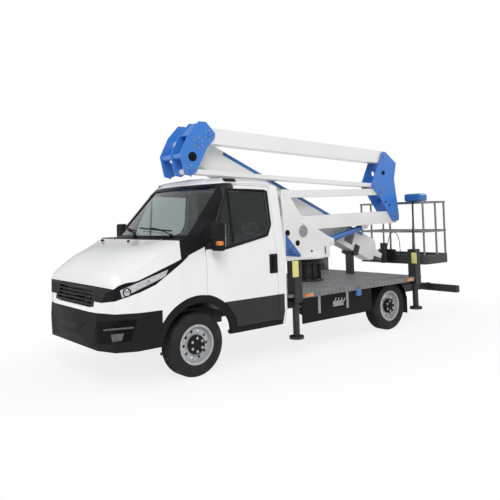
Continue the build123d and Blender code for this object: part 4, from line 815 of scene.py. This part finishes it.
def wipers():
    """Each wiper: pivot, arm and blade."""
    for name, pivot, tip, outer in (("near", 0.62, 0.20, -0.10), ("far", -0.08, -0.44, -0.70)):
        middle = screen_point((pivot + tip) / 2, 1.58, 0.045)
        arm = (screen_point(pivot, WIPER_FOOT, 0.03), middle, screen_point(tip, 1.60, 0.03))
        rod_along(f"wiper_arm_{name}", arm, 0.007, "chassis", black_plastic)
        start = pivot - 0.06
        blade = []
        for share in (0, 0.25, 0.5, 0.75, 1):
            blade.append(screen_point(start + (outer - start) * share, 1.575 + 0.035 * share, 0.016))
        rod_along(f"wiper_blade_{name}", blade, 0.009, "chassis", black_plastic)
        foot = screen_point(pivot, WIPER_FOOT, 0.0)
        boss = turned(foot, screen_point(pivot, WIPER_FOOT, 0.04), 0.018, 20, 0.005)
        place_piece(boss, f"wiper_pivot_{name}", "chassis", black_plastic)


def cab_trim():
    """Washer jets, door handles, roof markers, mirrors and window seals."""
    for name, spot in (("outer", (103, 241.5)), ("inner", (129, 242.5))):
        pad_on(f"washer_{name}", "bonnet", spot, (0.035, 0.03, 0.05), "bonnet", black_plastic, 0.006)
    for name, spot, size, material, bevel in (
        ("handle_recess", (273.5, 263.5), (0.125, 0.23, 0.016), black_plastic, 0.007),
        ("handle_grip", (273.5, 262.5), (0.05, 0.17, 0.05), gloss_black, 0.014),
    ):
        pad_on(name, "door_left", spot, size, "door_left", material, bevel, "door_right")
    size = (0.17, 0.06, 0.03)
    pad_on("roof_marker", "cab_roof", (229, 180.5), size, "chassis", black_plastic, 0.01, "chassis")
    for side, sign in SIDES:
        door, pane, inward = f"door_{side}", f"door_glass_{side}", (0, -sign, 0)
        dressed(f"mirror_{side}", black_plastic, edge=0.006)
        low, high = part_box(f"mirror_{side}")
        inner, outer = sorted((sign * 1.068, sign * 1.208))
        face = block((low.x - 0.004, inner, low.z + 0.045), (low.x + 0.004, outer, high.z - 0.03), 0.003)
        place_piece(face, f"mirror_glass_{side}", door, mirror_face)
        inner, outer = sorted((sign * 1.150, sign * 1.228))
        lamp_block = block((high.x - 0.05, inner, low.z + 0.06), (high.x + 0.003, outer, low.z + 0.11), 0.010)
        place_piece(lamp_block, f"mirror_flasher_{side}", door, amber)
        start, _ = struck(pane, (behind(0.52), sign * 2.0, 1.43), inward)
        end, _ = struck(pane, (behind(0.52), sign * 2.0, 2.02), inward)
        seal = [struck(door, (behind(station), sign * 2.0, height), inward)[0] for station, height in WINDOW]
        rod_along(f"window_seal_{side}", [*seal, seal[0]], 0.014, door, black_plastic, 2)
        divider = (start, (start + end) / 2, end)
        rod_along(f"window_divider_{side}", divider, 0.013, door, black_plastic)


def cushion(name, low, high, crown):
    """A stuffed pad: its faces swell between its edges."""
    obj = block(low, high, 0.035, 4)
    bpy.ops.object.mode_set(mode="EDIT")
    bpy.ops.mesh.select_all(action="SELECT")
    bpy.ops.mesh.subdivide(number_cuts=4, smoothness=0.0)
    bpy.ops.transform.tosphere(value=crown)
    bpy.ops.object.mode_set(mode="OBJECT")
    apply_modifier(obj, "SUBSURF", levels=1, render_levels=1)
    place_piece(obj, name, "chassis", seat_cloth, 60.0)
    return obj


def seats():
    """A driver's seat and a bench for two: plinths, cushions, back rests and head rests."""
    for name, centre, width in (("driver", 0.48, 0.48), ("mate", -0.10, 0.45), ("window", -0.56, 0.45)):
        low, high = centre - width / 2, centre + width / 2
        plinth = block((behind(1.12), low + 0.03, 0.702), (behind(0.74), high - 0.03, 0.96), 0.02)
        place_piece(plinth, f"seat_plinth_{name}", "chassis", black_plastic)
        base = cushion(f"seat_cushion_{name}", (behind(1.12), low, 0.955), (behind(0.71), high, 1.075), 0.07)
        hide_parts("seats")
        cushion(f"seat_back_{name}", (behind(1.20), low, 1.05), (behind(1.09), high, 1.50), 0.07)
        low, high = centre - 0.13, centre + 0.13
        cushion(f"head_rest_{name}", (behind(1.20), low, 1.515), (behind(1.11), high, 1.635), 0.07)


# Running gear

TYRE_HALF_PROFILE = (
    (0.2055, 0.08), (0.2055, 0.0865), (0.2185, 0.0868), (0.22, 0.0945), (0.245, 0.105), (0.256, 0.1075),
    (0.258, 0.11), (0.264, 0.11), (0.266, 0.1085), (0.29, 0.112), (0.312, 0.1085), (0.328, 0.1),
    (0.34, 0.088), (0.3465, 0.074), (0.3465, 0.07), (0.3485, 0.066), (0.349, 0.052), (0.341, 0.05),
    (0.341, 0.042), (0.349, 0.04), (0.349, 0.016), (0.341, 0.014), (0.341, 0.006), (0.349, 0.004),
)
TYRE_STEPS = 96
TREAD_RADIUS = 0.3465
TREAD_SHOULDER = 0.045


def tyre(corner):
    """The tyre's section, with ribs and sidewall ring, spun about the axle; cross cuts part the ribs."""
    low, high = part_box(f"tyre_{corner}")
    centre = (low + high) / 2
    section = [*TYRE_HALF_PROFILE, *[(radius, -y) for radius, y in reversed(TYRE_HALF_PROFILE)]]
    deselect()
    bpy.ops.mesh.primitive_circle_add(vertices=len(section), radius=0.1)
    obj = bpy.context.object
    bpy.ops.object.mode_set(mode="EDIT")
    mesh = bmesh.from_edit_mesh(obj.data)
    mesh.verts.ensure_lookup_table()
    for vertex, (radius, y) in zip(mesh.verts, section):
        vertex.co = centre + Vector((0, y, radius))
    bmesh.update_edit_mesh(obj.data)
    bpy.ops.mesh.select_all(action="SELECT")
    bpy.ops.mesh.spin(steps=TYRE_STEPS, angle=tau, center=centre, axis=(0, 1, 0))
    bpy.ops.mesh.select_all(action="SELECT")
    bpy.ops.mesh.remove_doubles(threshold=0.0001)
    bpy.ops.mesh.normals_make_consistent(inside=False)
    bpy.ops.mesh.select_all(action="DESELECT")
    mesh = bmesh.from_edit_mesh(obj.data)
    for face in mesh.faces:
        arm = face.calc_center_median() - centre
        step = round(atan2(arm.x, arm.z) / tau * TYRE_STEPS - 0.5)
        shift = 2 if abs(arm.y) > TREAD_SHOULDER else 0
        face.select_set(hypot(arm.x, arm.z) > TREAD_RADIUS and (step + shift) % 3 == 0)
    bmesh.update_edit_mesh(obj.data)
    bpy.ops.mesh.inset(thickness=0.002, depth=-0.005, use_individual=True)
    bpy.ops.object.mode_set(mode="OBJECT")
    place_piece(obj, f"tyre_{corner}_tread", f"wheel_{corner}", tyre_rubber, 30.0)
    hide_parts(f"tyre_{corner}")


def wheel(corner):
    """A dark hub cap and six bright nuts on the silver wheel."""
    dressed(f"wheel_{corner}", wheel_silver, edge=0.0025)
    body = f"wheel_{corner}"
    low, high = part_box(body)
    side = 1 if "left" in corner else -1
    out = Vector((0, side, 0))
    centre = Vector(((low.x + high.x) / 2, high.y if side > 0 else low.y, (low.z + high.z) / 2))
    cap = turned(centre - out * 0.048, centre + out * 0.004, 0.104, 48, 0.016)
    place_piece(cap, f"hub_cap_{corner}", body, black_plastic)
    spots = [centre + out * 0.003 + Vector((sin(tau * i / 6), 0, cos(tau * i / 6))) * 0.072 for i in range(6)]
    bolts(f"wheel_nuts_{corner}", spots, out, 0.011, body, steel)


def running_gear():
    """Frame, axles, wheels, tyres and mud flaps."""
    for node in ("chassis_frame", "front_axle", "rear_axle", "engine", "fuel_tank"):
        keep(node, frame_black)
    for side in ("left", "right"):
        keep(f"knuckle_{side}", zinc)
    for corner in CORNERS:
        tyre(corner)
        wheel(corner)
    for side, sign in SIDES:
        inner, outer = sorted((sign * 0.65, sign * 0.89))
        flap = block((behind(3.836), inner, 0.20), (behind(3.827), outer, 0.445), 0.003)
        place_piece(flap, f"mud_flap_{side}", "chassis", hose_rubber)


# Deck, skirts and outriggers

def deck():
    """Deck plate, skirts, marker lamps and the valve bank with its levers."""
    keep("deck", deck_plate)
    dressed("side_guards", black_plastic)
    for end, front, rear in (("front", 1.60, 1.74), ("rear", 3.70, 3.84)):
        for side, sign in SIDES:
            inner, outer = sorted((sign * 0.992, sign * 1.012))
            marker = block((behind(rear), inner, 0.690), (behind(front), outer, 0.728), 0.004)
            place_piece(marker, f"deck_marker_{end}_{side}", "chassis", amber)
    size = (0.045, 0.26, 0.016)
    for name, spot in (("skirt_strip_front", (319, 303)), ("skirt_strip_rear", (347, 298))):
        pad_on(name, "side_guards", spot, size, "chassis", zinc, twin="chassis")
    size = (0.09, 0.085, 0.06)
    pad_on("skirt_socket", "side_guards", (357.5, 292.5), size, "chassis", arm_blue, 0.012)
    size = (0.20, 0.07, 0.05)
    pad_on("valve_bank", "side_guards", (337, 303), size, "chassis", zinc, 0.006)
    for place in range(4):
        point, normal = seen("side_guards", 332.5 + 3 * place, 302)
        foot = point + normal * 0.02
        knee = point + normal * 0.07 + UP * 0.03
        knob = knee + UP * 0.05
        rod_along(f"valve_lever_{place}", (foot, (foot + knee) / 2, knob), 0.006, "chassis", steel)
        grip = turned(knob - UP * 0.012, knob + UP * 0.016, 0.012, 16, 0.006)
        place_piece(grip, f"lever_knob_{place}", "chassis", gloss_black)


def outriggers():
    """Outrigger frames, legs and the yellow plates on the columns."""
    dressed("outriggers", frame_black, crease=0.004, edge=0.006)
    for corner in CORNERS:
        dressed(f"leg_{corner}", frame_black, edge=0.003)
    for name, spot, size in (
        ("column_plate_front", (295.5, 269), (0.10, 0.20, 0.006)),
        ("column_plate_rear", (414, 258), (0.09, 0.16, 0.006)),
    ):
        pad_on(name, "outriggers", spot, size, "chassis", plate_yellow, 0.002, "chassis")


def tail_lamps():
    """Red rear lamps with an amber flasher in each."""
    dressed("tail_lamps", red, edge=0.006)
    for side, sign in SIDES:
        low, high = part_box("tail_lamps")
        inner, outer = sorted((sign * 0.86, sign * 0.936))
        flasher = block((low.x - 0.004, inner, low.z + 0.008), (low.x + 0.010, outer, high.z - 0.008), 0.003)
        place_piece(flasher, f"tail_flasher_{side}", "chassis", amber)


# Arms, boom and basket

def bolt_ring(name, node, centre, radius, count, size, side):
    """Bolt heads round a pin, on the plate that a cross ray meets first; those off the plate are left out."""
    station, height = centre
    faces = surface(node)
    spots = []
    for i in range(count):
        turn = tau * (i + 0.5) / count
        start = (behind(station) + radius * cos(turn), side * 2.0, height + radius * sin(turn))
        point, normal, _, _ = faces.ray_cast(Vector(start), Vector((0, -side, 0)))
        if point is not None and abs(point.y) > 0.23 and abs(normal.y) > 0.9:
            spots.append(point)
    if spots:
        bolts(name, spots, (0, side, 0), size, node, zinc)


def slew_ring():
    """A round drum on a foot plate, with gussets, that carries the slewing ring and its bolts."""
    low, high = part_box("pedestal")
    centre = Vector((behind(SLEW + PEDESTAL_SETBACK), 0, 0))
    foot, rim, top = low.z + 0.025, high.z - 0.075, high.z
    drum = [
        turned(centre + UP * low.z, centre + UP * foot, 0.225, 64, 0.006),
        turned(centre + UP * (foot - 0.004), centre + UP * (rim + 0.004), 0.165, 64, 0.004),
        turned(centre + UP * rim, centre + UP * (rim + 0.036), 0.238, 64, 0.008),
        turned(centre + UP * (rim + 0.034), centre + UP * top, 0.226, 64, 0.005),
    ]
    rib = block((0.150, -0.006, foot - 0.004), (0.205, 0.006, rim + 0.004), 0.002)
    apply_place(rib)
    turns = [Matrix.Translation(centre) @ Matrix.Rotation(tau * (i + 0.5) / 8, 4, "Z") for i in range(8)]
    drum.append(copies(rib, turns))
    piece = place_piece(joined(drum), "pedestal_drum", "chassis", frame_black)
    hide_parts("pedestal")
    around = [Vector((cos(tau * i / 24), sin(tau * i / 24), 0)) for i in range(24)]
    ring = [centre + UP * rim + out * 0.219 for out in around]
    bolts("slew_ring_bolts", ring, (0, 0, -1), 0.010, "chassis", zinc)
    feet = [centre + UP * foot + out * 0.210 for out in around[::3]]
    bolts("pedestal_foot_bolts", feet, (0, 0, 1), 0.010, "chassis", zinc)


def turret():
    """The turret with its pins, cover disc, slot and vent."""
    dressed("turret", arm_white, edge=0.003)
    for name, spot, radius, material in (
        ("pin_upper", (287.5, 233), 0.042, gloss_black), ("pin_lower", (297.6, 243), 0.040, gloss_black),
        ("cover_disc", (303.3, 231.2), 0.085, zinc), ("port", (311.7, 251), 0.016, gloss_black),
    ):
        disc_on(f"turret_{name}", "turret", spot, radius, 0.012, "chassis", material)
    size = (0.022, 0.11, 0.004)
    pad_on("turret_slot", "turret", (325.3, 250), size, "chassis", gloss_black, 0.0015)
    vent = ((285.5, 234), (301, 255), (300, 256.8), (286, 256))
    plate_on("turret_vent", "turret", vent, 0.014, "chassis", arm_blue)
    for place in range(3):
        row = 248.5 + 2.4 * place
        end = 291 + 2.2 * place
        louvre = ((288, row), (end, row + 0.6), (end, row + 1.5), (288, row + 0.9))
        plate_on(f"vent_louvre_{place}", "turret", louvre, 0.022, "chassis", gloss_black)


def arms():
    """Arms, ties, lift cylinder and the knuckles with their bolts."""
    for node in ("lower_arm", "lower_tie", "upper_arm", "upper_tie"):
        arm = dressed(node, arm_white, edge=0.008)
        if node in EASED_PINS:
            ease_pin(arm, EASED_PINS[node], PIN_REACH, PIN_SHARE)
    for node in ("front_knuckle", "rear_knuckle"):
        dressed(node, knuckle_blue, edge=0.003)
    keep("lift_barrel", arm_blue)
    keep("lift_rod", steel)
    for node, pins in (
        ("front_knuckle", ((0.730, 2.775), (0.440, 2.310), (0.565, 2.662))),
        ("rear_knuckle", ((4.508, 1.640), (4.256, 2.630), (4.150, 2.060), (3.966, 2.165))),
    ):
        for place, pin in enumerate(pins):
            for end, side in (("near", 1), ("far", -1)):
                bolt_ring(f"{node}_bolts_{place}_{end}", node, pin, 0.062, 6, 0.009, side)


def knuckle_hole_shades():
    """Black discs on the near plates of both knuckles: painted shade in their pin holes and port holes."""
    for name, node, spot, plate, radius, thick in (
        ("front_knuckle_hole_shade", "front_knuckle", (192.5, 156.6), (199.0, 152.0), 0.060, 0.008),
        ("rear_knuckle_hole_shade", "rear_knuckle", (383.0, 172.8), (388.0, 178.0), 0.034, 0.008),
        ("rear_knuckle_port_shade_upper", "rear_knuckle", (385.5, 201.8), (388.0, 205.0), 0.017, 0.006),
        ("rear_knuckle_port_shade_lower", "rear_knuckle", (389.4, 205.0), (388.0, 200.0), 0.017, 0.006),
    ):
        hole_shade_on(name, node, spot, plate, radius, thick, gloss_black)


def boom_strip(name, start, end, low, high, y, material):
    """A thin strip on the boom's side between two lengths along it and two heights across it."""
    ahead = Vector((-cos(BOOM_SLOPE), 0, -sin(BOOM_SLOPE)))
    across = Vector((-sin(BOOM_SLOPE), 0, cos(BOOM_SLOPE)))
    obj = block((start, low, -0.002), (end, high, 0.002), 0.001, 2)
    apply_place(obj)
    turn = Matrix((ahead, across, ahead.cross(across))).transposed().to_4x4()
    obj.matrix_world = Matrix.Translation((behind(BOOM_PIVOT[0]), y, BOOM_PIVOT[1])) @ turn
    return place_piece(obj, name, "boom_base", material)


def boom():
    """Three telescoping sections, with a blue line and a pad cover on both sides of the first."""
    for node in ("boom_base", "boom_mid", "boom_tip"):
        dressed(node, arm_white)
    for name, start, end, low, high, material, slot in (
        ("boom_line", 0.55, 3.60, 0.125, 0.172, arm_blue, "accent"),
        ("boom_pad_cover", 3.22, 3.42, -0.10, 0.11, cover_grey, "galvanised"),
    ):
        boom_strip(name, start, end, low, high, BOOM_NEAR, material)
        boom_strip(name + "_far", start, end, low, high, BOOM_FAR, material)


def basket():
    """Basket, bracket and control box, with the cable and the hose beside them."""
    dressed("basket_bracket", frame_black, crease=0.004)
    dressed("basket", basket_finish, edge=0.011)
    dressed("control_box", arm_blue, edge=0.032)
    low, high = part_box("control_box")
    for place in range(3):
        y = low.y + 0.08 + 0.08 * place
        knob = turned((low.x - 0.004, y, low.z + 0.055), (low.x - 0.03, y, low.z + 0.055), 0.014, 20, 0.004)
        place_piece(knob, f"control_knob_{place}", "basket", gloss_black)
    hose("control_cable", [
        (behind(4.695), 0.45, 1.884), (behind(4.692), 0.45, 1.79), (behind(4.668), 0.458, 1.55),
        (behind(4.664), 0.445, 1.25), (behind(4.676), 0.43, 1.06), (behind(4.711), 0.425, 0.965),
    ], 0.011, "basket")
    hose("rotator_hose", [
        (behind(4.61), -0.056, 1.10), (behind(4.60), -0.02, 1.17), (behind(4.585), 0.02, 1.30),
        (behind(4.61), 0.07, 1.385), (behind(4.655), 0.13, 1.36), (behind(4.685), 0.16, 1.24),
        (behind(4.688), 0.165, 1.06), (behind(4.711), 0.165, 0.955),
    ], 0.006, "basket")


# Floor, light and camera

def stage_floor():
    """Pale floor that the camera sees as white, with the object's shadow left on it."""
    deselect()
    bpy.ops.mesh.primitive_plane_add(size=80.0, location=(0, 0, 0))
    floor = bpy.context.object
    floor.name = "floor"
    material, place, feed = finish("floor_pale", Roughness=0.9)
    feed(Base_Color=place.noise(0.8, 2.0).step(0.3, 0.7).mix((0.80, 0.80, 0.80, 1), (0.82, 0.82, 0.82, 1)))
    tree = material.node_tree
    kinds = ("Is Camera Ray", "Is Glossy Ray", "Is Transmission Ray")
    rays = [place.make("LightPath", out=kind) for kind in kinds]
    looked = rays[0].of("MAXIMUM", rays[1]).of("MAXIMUM", rays[2])
    oval = place.make("Mapping", Vector=place, Scale=(0.8, 1.4, 1))
    reach = place.make("VectorMath", {"operation": "LENGTH"}, out="Value", i0=oval)
    share = looked * (0.82 + reach.step(2.6, 4.6) * 0.18)
    glow = place.make("Emission", Color=(1, 1, 1, 1), Strength=1.0)
    pale = Shade(tree, tree.nodes["Principled BSDF"].outputs[0])
    mixed = place.make("MixShader", i0=share, i1=pale, i2=glow)
    tree.links.new(mixed.socket, tree.nodes["Material Output"].inputs["Surface"])
    floor.data.materials.append(material)


def lamp(name, place, target, size, watts):
    """A square area lamp that looks at a place."""
    light = bpy.data.lights.new(name, "AREA")
    light.size = size
    light.energy = watts
    obj = bpy.data.objects.new(name, light)
    bpy.context.collection.objects.link(obj)
    obj.location = place
    obj.rotation_euler = (Vector(target) - Vector(place)).to_track_quat("-Z", "Y").to_euler()


def studio():
    """A grey sky that the camera sees as white, directly and through glass, and three lamps."""
    world = bpy.data.worlds.new("studio")
    bpy.context.scene.world = world
    world.use_nodes = True
    tree = world.node_tree
    sky = Shade(tree)
    rays = [sky.make("LightPath", out=kind) for kind in ("Is Camera Ray", "Is Transmission Ray")]
    looked = rays[0].of("MAXIMUM", rays[1])
    plain = sky.make("Background", Color=(0.92, 0.94, 0.97, 1), Strength=0.5)
    white = sky.make("Background", Color=(1, 1, 1, 1), Strength=1.0)
    mixed = sky.make("MixShader", i0=looked, i1=plain, i2=white)
    tree.links.new(mixed.socket, tree.nodes["World Output"].inputs["Surface"])
    lamp("key", (7.0, 9.0, 9.0), (0, 0, 1.0), 6.0, 900)
    lamp("fill", (9.0, -5.0, 5.0), (0, 0, 1.0), 7.0, 320)
    lamp("rear", (-9.0, 3.0, 7.0), (0, 0, 1.2), 6.0, 420)


def camera():
    """The camera at the photograph's angle."""
    data = bpy.data.cameras.new("photo_camera")
    data.sensor_fit = "AUTO"
    data.sensor_width = 36.0
    data.lens = data.sensor_width * CAMERA_FOCAL / PICTURE
    data.shift_y = CAMERA_CENTRE / PICTURE - 0.5
    data.clip_end = 200.0
    obj = bpy.data.objects.new("photo_camera", data)
    bpy.context.collection.objects.link(obj)
    right, above, forward = camera_axes()
    axes = Matrix((right, above, -forward)).transposed().to_4x4()
    obj.matrix_world = Matrix.Translation(CAMERA_PLACE) @ axes
    bpy.context.scene.camera = obj


camera()
basket()
cab_panels()
head_lamps()
wipers()
cab_trim()
seats()
running_gear()
deck()
outriggers()
tail_lamps()
dressed("cradle", frame_black, crease=0.004)
slew_ring()
turret()
arms()
knuckle_hole_shades()
boom()
stage_floor()
studio()
bpy.context.scene.view_settings.view_transform = "Standard"
